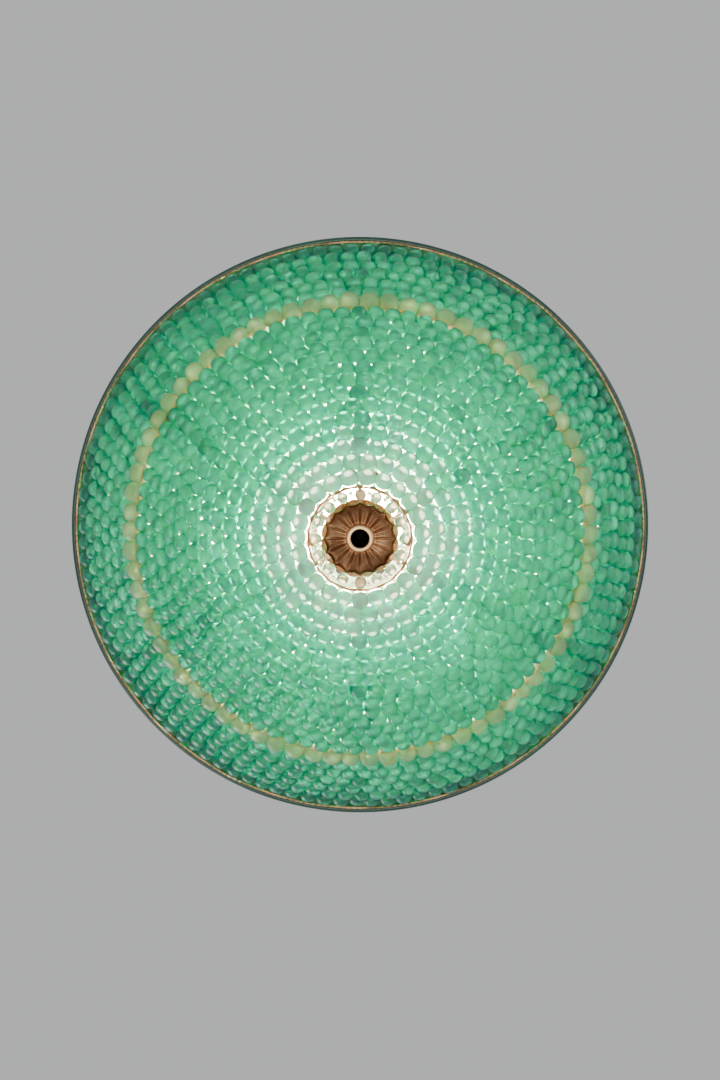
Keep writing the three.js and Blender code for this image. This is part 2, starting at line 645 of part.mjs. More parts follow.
// Radii at equal distances along the bowl's curve: the last course ends half a pitch on, at the bottom hoop.
function courseRadii() {
  const samples = 400;
  const radii = [];
  const lengths = [0];
  const edge = BOTTOM_HOOP_RADIUS + BOTTOM_HOOP_WIRE + HOOP_GAP;
  for (let i = 0; i <= samples; i++) {
    radii.push(firstCourseRadius + (edge - firstCourseRadius) * (i / samples));
  }
  for (let i = 1; i <= samples; i++) {
    const [a, b] = [bowlPoint(radii[i - 1]), bowlPoint(radii[i])];
    lengths.push(lengths[i - 1] + Math.hypot(a.r - b.r, a.z - b.z));
  }
  const pitch = lengths[samples] / (COURSE_COUNT - 0.5);
  const places = [firstCourseRadius];
  for (let i = 1; i < COURSE_COUNT; i++) {
    const after = lengths.findIndex((length) => length > i * pitch);
    const share = (i * pitch - lengths[after - 1]) / (lengths[after] - lengths[after - 1]);
    places.push(radii[after - 1] + share * (radii[after] - radii[after - 1]));
  }
  return { places, pitch };
}

// Each course of beads is strung on its own ring of wire. It is a six-sided ring, as thick as a bead
// through the wall and as wide as the spacing of the courses along it.
const { places: courses, pitch: coursePitch } = courseRadii();
courses.forEach((radius, i) => {
  const { r, z, slope } = bowlPoint(radius);
  const halfWidth = (coursePitch - COURSE_GAP) / 2;
  const halfDepth = BEAD_DIAMETER / 2;
  const section = [[1, 0], [0.5, 1], [-0.5, 1], [-1, 0], [-0.5, -1], [0.5, -1]].map(([n, t]) => [
    r + n * halfDepth * Math.sin(slope) + t * halfWidth * Math.cos(slope),
    z - n * halfDepth * Math.cos(slope) + t * halfWidth * Math.sin(slope),
  ]);
  const name = i === ACCENT_COURSE ? "bead_course_clear" : "bead_course_" + String(i + 1).padStart(2, "0");
  add(name, turned(section, COURSE_FACETS), i === ACCENT_COURSE ? clearGlass : greenGlass);
});

// ---- Bowl frame -----------------------------------------------------------------------------------------
function hoopGeometry() {
  const hoop = new THREE.TorusGeometry(hoopRadius, HOOP_WIRE, 6, COVER_FACETS).translate(0, 0, hoopZ);
  const studs = studAngles.map((angle) => {
    const stud = rod(STUD_RADIUS, hoopZ, RIM_Z + STUD_HEIGHT, SMALL_FACETS);
    return stud.translate(hoopRadius * Math.cos(angle), hoopRadius * Math.sin(angle), 0);
  });
  return joined(hoop, ...studs);
}
add("rim_hoop", hoopGeometry(), copper);

const spokeEnd = BOTTOM_HOOP_RADIUS - SPOKE_INSET;
const plateTop = bowlPoint(spokeEnd, ribOffset).z + PLATE_THICKNESS / 2;

function ribCurve(angle) {
  const points = [];
  const steps = 9;
  const end = spokeEnd + ribOffset * Math.sin(bowlPoint(spokeEnd).slope) + 2 * SEAT_GAP;
  for (let i = 0; i <= steps; i++) {
    const radius = firstCourseRadius + (end - firstCourseRadius) * (i / steps);
    const { r, z } = bowlPoint(radius, ribOffset);
    points.push(new THREE.Vector3(r * Math.cos(angle), r * Math.sin(angle), z));
  }
  return new THREE.CatmullRomCurve3(points);
}
const ribAngles = Array.from({ length: RIB_COUNT }, (_, i) => (2 * Math.PI * (i + 0.5)) / RIB_COUNT);
ribAngles.forEach((angle, i) => {
  add("rib_" + (i + 1), wire(ribCurve(angle), RIB_WIRE, 12, 6), copper);
});

// ---- Bottom fitting -------------------------------------------------------------------------------------
const bottomHoopZ = bowlPoint(BOTTOM_HOOP_RADIUS).z - BOTTOM_HOOP_WIRE;
const clearRingZ = bottomHoopZ + CLEAR_RING_RISE;
const bottomHoop = new THREE.TorusGeometry(BOTTOM_HOOP_RADIUS, BOTTOM_HOOP_WIRE, 6, COURSE_FACETS);
add("bottom_hoop", bottomHoop.translate(0, 0, bottomHoopZ), copper);

// The ring of clear beads that frames the rosette.
const clearRing = new THREE.TorusGeometry(CLEAR_RING_RADIUS, CLEAR_BEAD_RADIUS, 6, COURSE_FACETS);
add("clear_bead_ring", clearRing.translate(0, 0, clearRingZ), clearGlass);

const ferruleHole = FERRULE_RADIUS + SEAT_GAP;

// The plate behind the rosette has a scalloped edge, and a spoke to each rib.
function plateGeometry() {
  const outline = new THREE.Shape();
  const steps = 6 * FLUTE_COUNT;
  for (let i = 0; i < steps; i++) {
    const angle = (2 * Math.PI * i) / steps;
    const r = PLATE_RADIUS - PLATE_SCALLOP * (1 - Math.abs(Math.sin((FLUTE_COUNT * angle) / 2)));
    if (i === 0) outline.moveTo(r, 0);
    else outline.lineTo(r * Math.cos(angle), r * Math.sin(angle));
  }
  const disc = new THREE.ExtrudeGeometry(outline, { depth: PLATE_THICKNESS, bevelEnabled: false });
  disc.translate(0, 0, plateTop - PLATE_THICKNESS);
  const length = spokeEnd - PLATE_RADIUS / 2;
  const spokes = ribAngles.map((angle) => {
    const spoke = box(length, SPOKE_WIDTH, PLATE_THICKNESS, spokeEnd - length / 2, 0, 0);
    return spoke.rotateZ(angle).translate(0, 0, plateTop - PLATE_THICKNESS / 2);
  });
  const hole = rod(ferruleHole, plateTop - 2 * PLATE_THICKNESS, plateTop + PLATE_THICKNESS, ROUND_FACETS);
  return cut(joined(disc, ...spokes), hole);
}
add("bottom_plate", plateGeometry(), brass);

// The rosette is a shallow fluted cup that opens downward: sixteen ridges run out to the points of its edge.
function rosetteGeometry() {
  const top = plateTop - PLATE_THICKNESS - SEAT_GAP - FLUTE_HEIGHT;
  const bottom = top - ROSETTE_DEPTH;
  const wall = ROSETTE_WALL;
  const outline = [
    [ferruleHole, top],
    [RING_NUT_RADIUS + ROSETTE_LAND, top],
    ...ROSETTE_BREAKS.map(([radius, drop]) => [radius, top - drop]),
    [ROSETTE_RADIUS, bottom],
    [ROSETTE_RADIUS - wall, bottom],
    ...ROSETTE_INNER_BREAKS.map(([radius, drop]) => [radius, top - drop - wall]).reverse(),
    [RING_NUT_RADIUS + ROSETTE_INNER_LAND, top - wall],
    [ferruleHole, top - wall],
  ];
  const geometry = turned(outline, 4 * FLUTE_COUNT);
  const place = geometry.attributes.position;
  for (let i = 0; i < place.count; i++) {
    const x = place.getX(i);
    const y = place.getY(i);
    const r = Math.hypot(x, y);
    const hollow = Math.abs(Math.sin((FLUTE_COUNT * Math.atan2(y, x)) / 2));
    const share = THREE.MathUtils.smoothstep(r, RING_NUT_RADIUS + ROSETTE_LAND, ROSETTE_RADIUS);
    const scale = 1 - (share * ROSETTE_SCALLOP * hollow) / r;
    place.setXYZ(i, x * scale, y * scale, place.getZ(i) + share * FLUTE_HEIGHT * (2 * hollow - 1));
  }
  return geometry;
}
add("rosette", rosetteGeometry(), bronze);

const rosetteSeat = plateTop - PLATE_THICKNESS - SEAT_GAP - FLUTE_HEIGHT - ROSETTE_WALL;
const ringNutTop = rosetteSeat - SEAT_GAP;
const ringNutBottom = ringNutTop - RING_NUT_HEIGHT;
const innerNutBottom = plateTop + SEAT_GAP;
const innerNutTop = innerNutBottom + NUT_HEIGHT;
add(
  "ring_nut",
  turned([
    [ferruleHole, ringNutTop],
    [RING_NUT_RADIUS, ringNutTop],
    [RING_NUT_RADIUS, ringNutBottom + RING_NUT_BEVEL],
    [RING_NUT_RADIUS - RING_NUT_BEVEL, ringNutBottom],
    [RING_NUT_BORE, ringNutBottom],
    [RING_NUT_BORE, ringNutBottom + RING_NUT_LIP],
    [ferruleHole, ringNutBottom + RING_NUT_LIP],
  ]),
  brass,
);
add("ferrule_nut", hexNut(ferruleHole, innerNutBottom, innerNutTop), brass);
const ferruleBottom = ringNutBottom + RING_NUT_LIP + SEAT_GAP;
const ferruleTop = innerNutTop + FERRULE_STAND;
add(
  "ferrule",
  turned([
    [0, ferruleTop],
    [FERRULE_RADIUS, ferruleTop],
    [FERRULE_RADIUS, ferruleBottom],
    [FERRULE_BORE, ferruleBottom],
    [FERRULE_BORE, ferruleTop - FERRULE_CAP],
    [0, ferruleTop - FERRULE_CAP],
  ]),
  brass,
);

export default lamp;
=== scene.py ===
"""Pendant ceiling light: a bowl of strung glass beads under a spun cover, on a rigid stem. Metres, +Z up."""
import math
import random

import bmesh
import bpy
import numpy as np
from mathutils import Matrix, Vector


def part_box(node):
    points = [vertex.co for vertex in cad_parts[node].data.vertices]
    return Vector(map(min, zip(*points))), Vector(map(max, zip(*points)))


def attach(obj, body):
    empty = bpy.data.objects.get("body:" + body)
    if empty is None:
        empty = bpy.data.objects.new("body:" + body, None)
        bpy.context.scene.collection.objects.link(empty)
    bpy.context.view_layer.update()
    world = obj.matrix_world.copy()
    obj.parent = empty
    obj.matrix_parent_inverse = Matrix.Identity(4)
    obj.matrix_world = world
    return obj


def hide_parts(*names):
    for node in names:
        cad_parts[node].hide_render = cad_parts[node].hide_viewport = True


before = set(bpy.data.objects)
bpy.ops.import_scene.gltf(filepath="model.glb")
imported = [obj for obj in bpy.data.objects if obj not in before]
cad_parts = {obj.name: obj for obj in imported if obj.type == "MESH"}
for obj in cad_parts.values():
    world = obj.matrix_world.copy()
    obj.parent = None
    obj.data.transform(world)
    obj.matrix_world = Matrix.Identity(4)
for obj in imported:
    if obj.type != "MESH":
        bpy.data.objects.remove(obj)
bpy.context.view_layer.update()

MM = 0.001
TURN = 2 * math.pi


# ---- Sizes and places, from the frame ---------------------------------------------------------------------
def low(node):
    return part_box(node)[0]


def high(node):
    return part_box(node)[1]


def outer_radius(node):
    return high(node)[0]


def middle(node, axis=2):
    return (low(node)[axis] + high(node)[axis]) / 2


RIM_RADIUS = high("top_cover")[0]
HEM_Z = low("top_cover")[2]
HEM_DEPTH = 3 * MM  # the rolled hem below the rim
RIM_Z = HEM_Z + HEM_DEPTH
COVER_TOP = high("top_cover")[2]
BEAD_RADIUS = 4.5 * MM
BOWL_DEPTH = 109 * MM
BOWL_POWER = 1.9
FIRST_Z = middle("bead_course_01")
BRIM_CLEARANCE = 4.2 * MM
FIRST_RADIUS = RIM_RADIUS - BRIM_CLEARANCE - BEAD_RADIUS
COURSES = 21
LOWEST = low("rosette")[2]
CLEAR_COURSE = 7
COURSE_NODES = [
    "bead_course_clear" if i == CLEAR_COURSE else f"bead_course_{i:02d}" for i in range(1, COURSES + 1)
]
HOOP_WIRE = 2.5 * MM
HOOP_RADIUS = (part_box("rim_hoop")[1][0]) - HOOP_WIRE
STUD_WIRE = 2 * MM
RIB_WIRE = 1.2 * MM
RIB_GAP = 0.5 * MM
RIBS = 6
RIB_END = 23.8 * MM
FERRULE_GAP = 0.3 * MM
CANOPY_HOLE = 17 * MM
PIVOT_Z = middle("swivel_cross")
PIVOT_DROP = 8 * MM
EAR_HALF = 4 * MM
EAR_REACH = 5 * MM  # pivot to the ear's free end
EAR_THICKNESS = 2.5 * MM
EAR_INNER = 7 * MM
LEAD_RADIUS = 1.5 * MM


def bowl_point(radius, offset=0.0):
    """Radius, height and slope on the surface through the beads' centres, or offset into the bowl."""
    share = radius / FIRST_RADIUS
    z = FIRST_Z - BOWL_DEPTH * (1 - share**BOWL_POWER)
    slope = math.atan(BOWL_DEPTH * BOWL_POWER / FIRST_RADIUS * share ** (BOWL_POWER - 1))
    return radius - offset * math.sin(slope), z + offset * math.cos(slope), slope


def radius_at(z):
    """The bowl's radius at a height."""
    return FIRST_RADIUS * (1 - (FIRST_Z - z) / BOWL_DEPTH) ** (1 / BOWL_POWER)


# ---- Camera and light -------------------------------------------------------------------------------------
CAMERA_DISTANCE = 1.3
OFF_AXIS = math.radians(3.2)
LENS = 117
SHIFT = -13.6 / 720  # share of the picture that the lens is slid by


def add_camera():
    data = bpy.data.cameras.new("camera")
    data.sensor_fit = "HORIZONTAL"
    data.sensor_width = 36
    data.lens = LENS
    data.clip_start = 0.01
    camera = bpy.data.objects.new("camera", data)
    bpy.context.collection.objects.link(camera)
    target = Vector((0, 0, RIM_Z))
    back = Vector((0, math.sin(OFF_AXIS), -math.cos(OFF_AXIS)))
    right = Vector((-1, 0, 0))
    up = back.cross(right)
    turn = Matrix((right, up, back)).transposed()
    camera.matrix_world = Matrix.Translation(target + back * CAMERA_DISTANCE) @ turn.to_4x4()
    data.shift_y = SHIFT
    bpy.context.scene.camera = camera


add_camera()


def add_area_light(name, place, target, size, power, colour=(1, 1, 1)):
    data = bpy.data.lights.new(name, "AREA")
    data.shape = "DISK"
    data.size = size
    data.energy = power
    data.color = colour
    light = bpy.data.objects.new(name, data)
    bpy.context.collection.objects.link(light)
    aim = (Vector(target) - Vector(place)).to_track_quat("-Z", "Y")
    light.matrix_world = Matrix.Translation(place) @ aim.to_matrix().to_4x4()


def add_world(colour, strength):
    world = bpy.data.worlds.new("studio")
    world.use_nodes = True
    background = world.node_tree.nodes["Background"]
    background.inputs["Color"].default_value = (*colour, 1)
    background.inputs["Strength"].default_value = strength
    bpy.context.scene.world = world


add_world((0.86, 0.87, 0.88), 0.62)
add_area_light("key", (1.6, -1.9, -0.2), (0, 0, -0.35), 1.6, 26)
add_area_light("fill", (-2.0, 0.9, -0.9), (0, 0, -0.35), 1.8, 10)
add_area_light("front", (0.1, -0.2, -2.3), (0, 0, -0.54), 1.0, 5.5, (1.0, 0.95, 0.88))


# ---- Materials --------------------------------------------------------------------------------------------
def linear(r, g, b):
    """A colour given in 0 to 255 as linear light."""
    def one(v):
        v /= 255
        return v / 12.92 if v <= 0.04045 else ((v + 0.055) / 1.055) ** 2.4
    return (one(r), one(g), one(b), 1.0)


class Shader:
    """A Principled material and short calls that wire procedural detail into it."""

    def __init__(self, name, **sockets):
        self.material = bpy.data.materials.new(name)
        self.material.use_nodes = True
        self.tree = self.material.node_tree
        self.bsdf = self.tree.nodes["Principled BSDF"]
        self.coordinates = self.tree.nodes.new("ShaderNodeTexCoord")
        for key, value in sockets.items():
            self.bsdf.inputs[key.replace("_", " ")].default_value = value

    def node(self, kind, **settings):
        made = self.tree.nodes.new(kind)
        for key, value in settings.items():
            if key in made.inputs:
                made.inputs[key].default_value = value
            else:
                setattr(made, key, value)
        return made

    def link(self, source, target):
        self.tree.links.new(source, target)

    def noise(self, scale, detail=4.0, rough=0.55, stretch=(1, 1, 1)):
        mapping = self.node("ShaderNodeMapping")
        mapping.inputs["Scale"].default_value = stretch
        self.link(self.coordinates.outputs["Object"], mapping.inputs["Vector"])
        made = self.node("ShaderNodeTexNoise")
        made.inputs["Scale"].default_value = scale
        made.inputs["Detail"].default_value = detail
        made.inputs["Roughness"].default_value = rough
        self.link(mapping.outputs["Vector"], made.inputs["Vector"])
        return made.outputs["Fac"]

    def ramp(self, factor, *stops):
        made = self.node("ShaderNodeValToRGB")
        elements = made.color_ramp.elements
        while len(elements) < len(stops):
            elements.new(0.5)
        for element, (place, colour) in zip(elements, stops):
            element.position = place
            element.color = colour if len(colour) == 4 else (*colour, 1)
        self.link(factor, made.inputs["Fac"])
        return made.outputs["Color"]

    def colour(self, source):
        self.link(source, self.bsdf.inputs["Base Color"])

    def roughness(self, factor, least, most):
        made = self.node("ShaderNodeMapRange")
        made.inputs["From Min"].default_value = 0.3
        made.inputs["From Max"].default_value = 0.7
        made.inputs["To Min"].default_value = least
        made.inputs["To Max"].default_value = most
        self.link(factor, made.inputs["Value"])
        self.link(made.outputs["Result"], self.bsdf.inputs["Roughness"])

    def bump(self, factor, height, strength=1.0):
        made = self.node("ShaderNodeBump")
        made.inputs["Strength"].default_value = strength
        made.inputs["Distance"].default_value = height
        self.link(factor, made.inputs["Height"])
        self.link(made.outputs["Normal"], self.bsdf.inputs["Normal"])


def metal(name, dark, mid, bright, least, most, grain=(1, 1, 1), scale=90, height=0.00006):
    shader = Shader(name, Metallic=1.0)
    patches = shader.noise(scale, 6.0, 0.6, grain)
    shader.colour(shader.ramp(patches, (0.3, dark), (0.5, mid), (0.72, bright)))
    shader.roughness(shader.noise(scale * 3, 5.0, 0.6, grain), least, most)
    shader.bump(shader.noise(scale * 9, 3.0, 0.5, grain), height)
    return shader.material


def metal_of(name, colours, least, most, scale=90):
    """A metal from its dark, middle and bright colours in 0 to 255."""
    return metal(name, *[linear(*colour) for colour in colours], least, most, scale=scale)


def green_enamel():
    shader = Shader("green_enamel", Coat_Weight=0.7, Coat_Roughness=0.06)
    cloud = shader.noise(14, 5.0, 0.6)
    stops = (0.3, linear(6, 58, 44)), (0.55, linear(9, 78, 58)), (0.75, linear(14, 96, 70))
    shader.colour(shader.ramp(cloud, *stops))
    shader.roughness(shader.noise(60, 4.0), 0.22, 0.36)
    shader.bump(shader.noise(220, 3.0), 0.00008)
    return shader.material


def mint_enamel():
    shader = Shader("mint_enamel", Coat_Weight=0.3, Coat_Roughness=0.15)
    cloud = shader.noise(20, 4.0)
    shader.colour(shader.ramp(cloud, (0.3, (0.0, 0.30, 0.16, 1)), (0.7, (0.004, 0.40, 0.22, 1))))
    shader.roughness(shader.noise(70, 3.0), 0.35, 0.5)
    shader.bump(shader.noise(260, 2.0), 0.00006)
    return shader.material


def porcelain():
    shader = Shader("porcelain", Coat_Weight=0.5, Coat_Roughness=0.1)
    stops = (0.3, linear(222, 216, 200)), (0.7, linear(240, 236, 224))
    shader.colour(shader.ramp(shader.noise(80, 4.0), *stops))
    shader.roughness(shader.noise(120, 3.0), 0.2, 0.34)
    shader.bump(shader.noise(400, 2.0), 0.00004)
    return shader.material


def lead_sheath():
    shader = Shader("lead_sheath")
    stops = (0.3, linear(196, 188, 168)), (0.7, linear(216, 209, 190))
    shader.colour(shader.ramp(shader.noise(160, 4.0), *stops))
    shader.roughness(shader.noise(200, 3.0), 0.45, 0.62)
    shader.bump(shader.noise(900, 2.0), 0.00003)
    return shader.material


GLASS_STOPS = (0.2, 0.45, 0.7, 1.0)


def bead_glass(name, colours, clarity, rough, spread):
    """Hand-made glass, a little cloudy. Each bead has its own depth of colour, from the first of the four
    colours to the last, with painted glow making the beads nearest the bulb paler, and a skin with faint
    swirls."""
    shader = Shader(
        name, Transmission_Weight=clarity, IOR=1.5, Coat_Weight=0.35, Coat_Roughness=0.04, Coat_IOR=1.5,
        Subsurface_Weight=1.0, Subsurface_Radius=spread, Subsurface_Scale=0.02,
    )
    tint = shader.node("ShaderNodeAttribute", attribute_name="tint")
    swirl = shader.noise(150, 3.0, 0.5)
    blend = shader.node("ShaderNodeMath", operation="MULTIPLY_ADD")
    shader.link(swirl, blend.inputs[0])
    blend.inputs[1].default_value = 0.3
    shader.link(tint.outputs["Fac"], blend.inputs[2])
    shader.colour(shader.ramp(blend.outputs["Value"], *zip(GLASS_STOPS, colours)))
    shader.roughness(shader.noise(200, 3.0), rough * 0.7, rough * 1.3)
    shader.bump(shader.noise(330, 2.0), 0.00010)
    return shader.material


def lit_bulb():
    shader = Shader("lit_bulb", Roughness=0.4)
    cloud = shader.noise(30, 2.0)
    glow = shader.ramp(cloud, (0.3, linear(255, 226, 184)), (0.7, linear(255, 238, 208)))
    shader.colour(glow)
    shader.bsdf.inputs["Emission Color"].default_value = (1.0, 0.79, 0.55, 1)
    shader.bsdf.inputs["Emission Strength"].default_value = BULB_GLOW
    return shader.material


BULB_GLOW = 450.0
BRASS = metal_of("polished_brass", ((190, 120, 52), (226, 165, 92), (246, 200, 132)), 0.16, 0.34)
BRONZE = metal_of("antique_bronze", ((78, 46, 26), (128, 80, 46), (176, 118, 72)), 0.28, 0.5)
ROSETTE = metal_of("rosette_bronze", ((116, 80, 54), (166, 120, 84), (232, 184, 140)), 0.24, 0.4)
COPPER = metal_of("copper_wire", ((112, 64, 34), (166, 104, 62), (206, 140, 92)), 0.24, 0.46, scale=240)
# Copper gone green where it lies behind the beads.
AGED = metal_of("aged_copper", ((40, 92, 66), (74, 122, 88), (138, 142, 98)), 0.34, 0.56, scale=240)
BRIGHT = metal_of("bright_brass", ((236, 180, 124), (250, 204, 152), (255, 224, 184)), 0.22, 0.36)
# Near-black bronze on the ferrule: painted shade, so its end and bore read as the dark hole in the middle of
# the fitting.
HOLE_SHADE_BRONZE = metal_of("bronze_painted_hole_shade", ((16, 9, 6), (28, 17, 11), (48, 30, 20)), 0.5, 0.7)
STEEL = metal_of("zinc_steel", ((138, 140, 142), (168, 170, 172), (198, 200, 200)), 0.3, 0.5)
ENAMEL = green_enamel()
LINING = mint_enamel()
PORCELAIN = porcelain()
SHEATH = lead_sheath()
# The palest last colour is reached only with the painted glow of the lower courses, standing in for the
# bulb's glare.
EMERALD = bead_glass(
    "emerald_glass",
    [(0.0, 0.34, 0.25, 1), (0.0, 0.45, 0.36, 1), (0.02, 0.62, 0.52, 1), (0.72, 0.94, 0.86, 1)],
    0.7, 0.12, (0.3, 1.0, 0.75),
)
CRYSTAL = bead_glass(
    "crystal",
    [linear(246, 226, 200), linear(250, 236, 214), linear(252, 242, 224), linear(254, 246, 232)],
    0.8, 0.14, (1.0, 0.85, 0.7),
)
CLEAR = bead_glass(
    "clear_glass",
    [linear(196, 190, 146), linear(206, 198, 154), linear(222, 214, 176), linear(236, 226, 196)],
    0.78, 0.14, (0.9, 1.0, 0.7),
)
BULB = lit_bulb()


# ---- Mesh helpers -----------------------------------------------------------------------------------------
def piece(name, vertices, faces, materials, body, replaces=(), slot=None, sharp=32, bevel=None):
    """A mesh object that rides on a body, stands for CAD nodes and takes the materials it is given. The slot
    argument is not used.
    """
    mesh = bpy.data.meshes.new(name)
    mesh.from_pydata([tuple(v) for v in vertices], [], [tuple(f) for f in faces])
    mesh.validate()
    shaped = bmesh.new()
    shaped.from_mesh(mesh)
    bmesh.ops.recalc_face_normals(shaped, faces=shaped.faces)
    shaped.to_mesh(mesh)
    shaped.free()
    mesh.shade_smooth()
    mesh.set_sharp_from_angle(angle=math.radians(sharp))
    materials = materials if isinstance(materials, (list, tuple)) else [materials]
    for material in materials:
        mesh.materials.append(material)
    made = bpy.data.objects.new(name, mesh)
    bpy.context.collection.objects.link(made)
    if bevel:
        edge = made.modifiers.new("edges", "BEVEL")
        edge.width = bevel
        edge.segments = 2
        edge.limit_method = "ANGLE"
        edge.angle_limit = math.radians(35)
    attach(made, body)
    if replaces:
        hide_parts(*replaces)
    return made


def merge(*shapes):
    """Joins lists of vertices and faces into one."""
    vertices, faces = [], []
    for more_vertices, more_faces in shapes:
        start = len(vertices)
        vertices.extend(more_vertices)
        faces.extend([tuple(i + start for i in face) for face in more_faces])
    return vertices, faces


def turned(profile, segments=96, shape=None):
    """Turns a closed outline of (radius, height) about Z, capped where it ends on the axis."""
    vertices, faces = [], []
    rows = []
    for r, z in profile:
        if r < 1e-9:
            rows.append([len(vertices)] * segments)
            vertices.append((0.0, 0.0, z))
            continue
        rows.append(list(range(len(vertices), len(vertices) + segments)))
        for k in range(segments):
            angle = TURN * k / segments
            rr, zz = shape(r, z, angle) if shape else (r, z)
            vertices.append((rr * math.cos(angle), rr * math.sin(angle), zz))
    count = len(rows)
    closed = profile[0][0] > 1e-9 or profile[-1][0] > 1e-9
    for i in range(count if closed else count - 1):
        a, b = rows[i], rows[(i + 1) % count]
        for k in range(segments):
            n = (k + 1) % segments
            face = [a[k], a[n], b[n], b[k]]
            unique = list(dict.fromkeys(face))
            if len(unique) > 2:
                faces.append(unique)
    return vertices, faces


def swept(points, radius, sides=10, closed=False):
    """A round wire through points, without twist."""
    points = [Vector(p) for p in points]
    count = len(points)
    vertices, faces = [], []
    normal = None
    for i, p in enumerate(points):
        if closed:
            along = (points[(i + 1) % count] - points[i - 1]).normalized()
        else:
            along = (points[min(i + 1, count - 1)] - points[max(i - 1, 0)]).normalized()
        if normal is None:
            reference = Vector((0, 0, 1)) if abs(along.z) < 0.9 else Vector((1, 0, 0))
            normal = along.cross(reference).normalized()
        normal = (normal - along * normal.dot(along)).normalized()
        side = along.cross(normal)
        for k in range(sides):
            angle = TURN * k / sides
            across = normal * (radius * math.cos(angle))
            vertices.append(tuple(p + across + side * (radius * math.sin(angle))))
    for i in range(count if closed else count - 1):
        for k in range(sides):
            n = (k + 1) % sides
            j = (i + 1) % count
            faces.append((i * sides + k, i * sides + n, j * sides + n, j * sides + k))
    if not closed:
        faces.append(tuple(range(sides - 1, -1, -1)))
        faces.append(tuple((count - 1) * sides + k for k in range(sides)))
    return vertices, faces


def ring(radius, wire, z, segments=160, sides=12):
    points = []
    for i in range(segments):
        angle = TURN * i / segments
        points.append((radius * math.cos(angle), radius * math.sin(angle), z))
    return swept(points, wire, sides, closed=True)


def prism(outline, depth, place):
    """An outline of (u, v) points drawn in a plane and given a depth; place turns (u, v, w) into space."""
    count = len(outline)
    vertices = [place(u, v, w) for w in (-depth / 2, depth / 2) for u, v in outline]
    faces = [tuple(range(count - 1, -1, -1)), tuple(range(count, 2 * count))]
    for i in range(count):
        n = (i + 1) % count
        faces.append((i, n, count + n, count + i))
    return vertices, faces


def moved(shape, matrix):
    vertices, faces = shape
    return [tuple(matrix @ Vector(v)) for v in vertices], faces


def arc(centre, radius, start, end, steps):
    """Points on a circle in the (radius, height) plane, angles in degrees."""
    points = []
    for i in range(steps + 1):
        angle = math.radians(start + (end - start) * i / steps)
        points.append((centre[0] + radius * math.cos(angle), centre[1] + radius * math.sin(angle)))
    return points


def finish_cad(node, material):
    """Gives a CAD node that keeps its own shape its material."""
    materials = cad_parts[node].data.materials
    materials.clear()
    materials.append(material)


# ---- Beads ------------------------------------------------------------------------------------------------
BEAD_SIDES = 16
BEAD_RINGS = 11
BEAD_HOLE = 0.07  # share of the bead's radius
BEAD_SQUARENESS = 2.45  # 2 is a ball


def bead_template(sides=BEAD_SIDES, rings=BEAD_RINGS):
    """A slightly squared ball drilled along X, 1 in radius on its axes. Its rings run over the outside from
    one mouth of the hole to the other, and the last strip of faces goes back through the hole."""
    start = math.asin(BEAD_HOLE)
    vertices = []
    for i in range(rings):
        angle = start + (math.pi - 2 * start) * i / (rings - 1)
        for k in range(sides):
            turn = TURN * k / sides
            across = math.sin(angle)
            point = (math.cos(angle), across * math.cos(turn), across * math.sin(turn))
            swell = sum(abs(value) ** BEAD_SQUARENESS for value in point) ** (-1 / BEAD_SQUARENESS)
            vertices.append(tuple(value * swell for value in point))
    faces = []
    for i in range(rings):
        j = (i + 1) % rings
        for k in range(sides):
            n = (k + 1) % sides
            faces.append((i * sides + k, i * sides + n, j * sides + n, j * sides + k))
    return np.array(vertices), np.array(faces)


TEMPLATE = bead_template()
SMALL_TEMPLATE = bead_template(12, 8)


class Beads:
    """Gathers many beads into one mesh, each with its own size, lean, unevenness and tint: depth of colour,
    with painted glow where the caller adds it.
    """

    def __init__(self, seed):
        self.random = random.Random(seed)
        self.vertices, self.faces, self.tints = [], [], []
        self.count = 0

    def add(self, centre, along, normal, radius, length=None, tint=None, template=TEMPLATE, lean=0.10):
        rnd = self.random
        base, faces = template
        shape = base.copy()
        for _ in range(2):
            wave = np.array([rnd.gauss(0, 1) for _ in range(3)]) * 1.7
            shape *= 1 + 0.022 * np.sin(base @ wave + rnd.uniform(0, TURN))[:, None]
        length = radius if length is None else length
        shape = shape * np.array([length, radius * rnd.uniform(0.97, 1.03), radius * rnd.uniform(0.97, 1.03)])
        along = Vector(along) + Vector([rnd.gauss(0, lean) for _ in range(3)])
        along.normalize()
        normal = (Vector(normal) - along * Vector(normal).dot(along)).normalized()
        side = along.cross(normal)
        turn = np.array([along, normal, side])
        self.vertices.append(shape @ turn + np.array(centre))
        self.faces.append(faces + self.count)
        self.count += len(base)
        self.tints.extend([rnd.betavariate(3, 3) if tint is None else tint] * len(base))

    def piece(self, name, material, body, replaces, slot):
        vertices = np.concatenate(self.vertices)
        faces = np.concatenate(self.faces)
        made = piece(name, vertices.tolist(), faces.tolist(), material, body, replaces, slot, sharp=60)
        attribute = made.data.attributes.new("tint", "FLOAT", "POINT")
        attribute.data.foreach_set("value", self.tints)
        return made


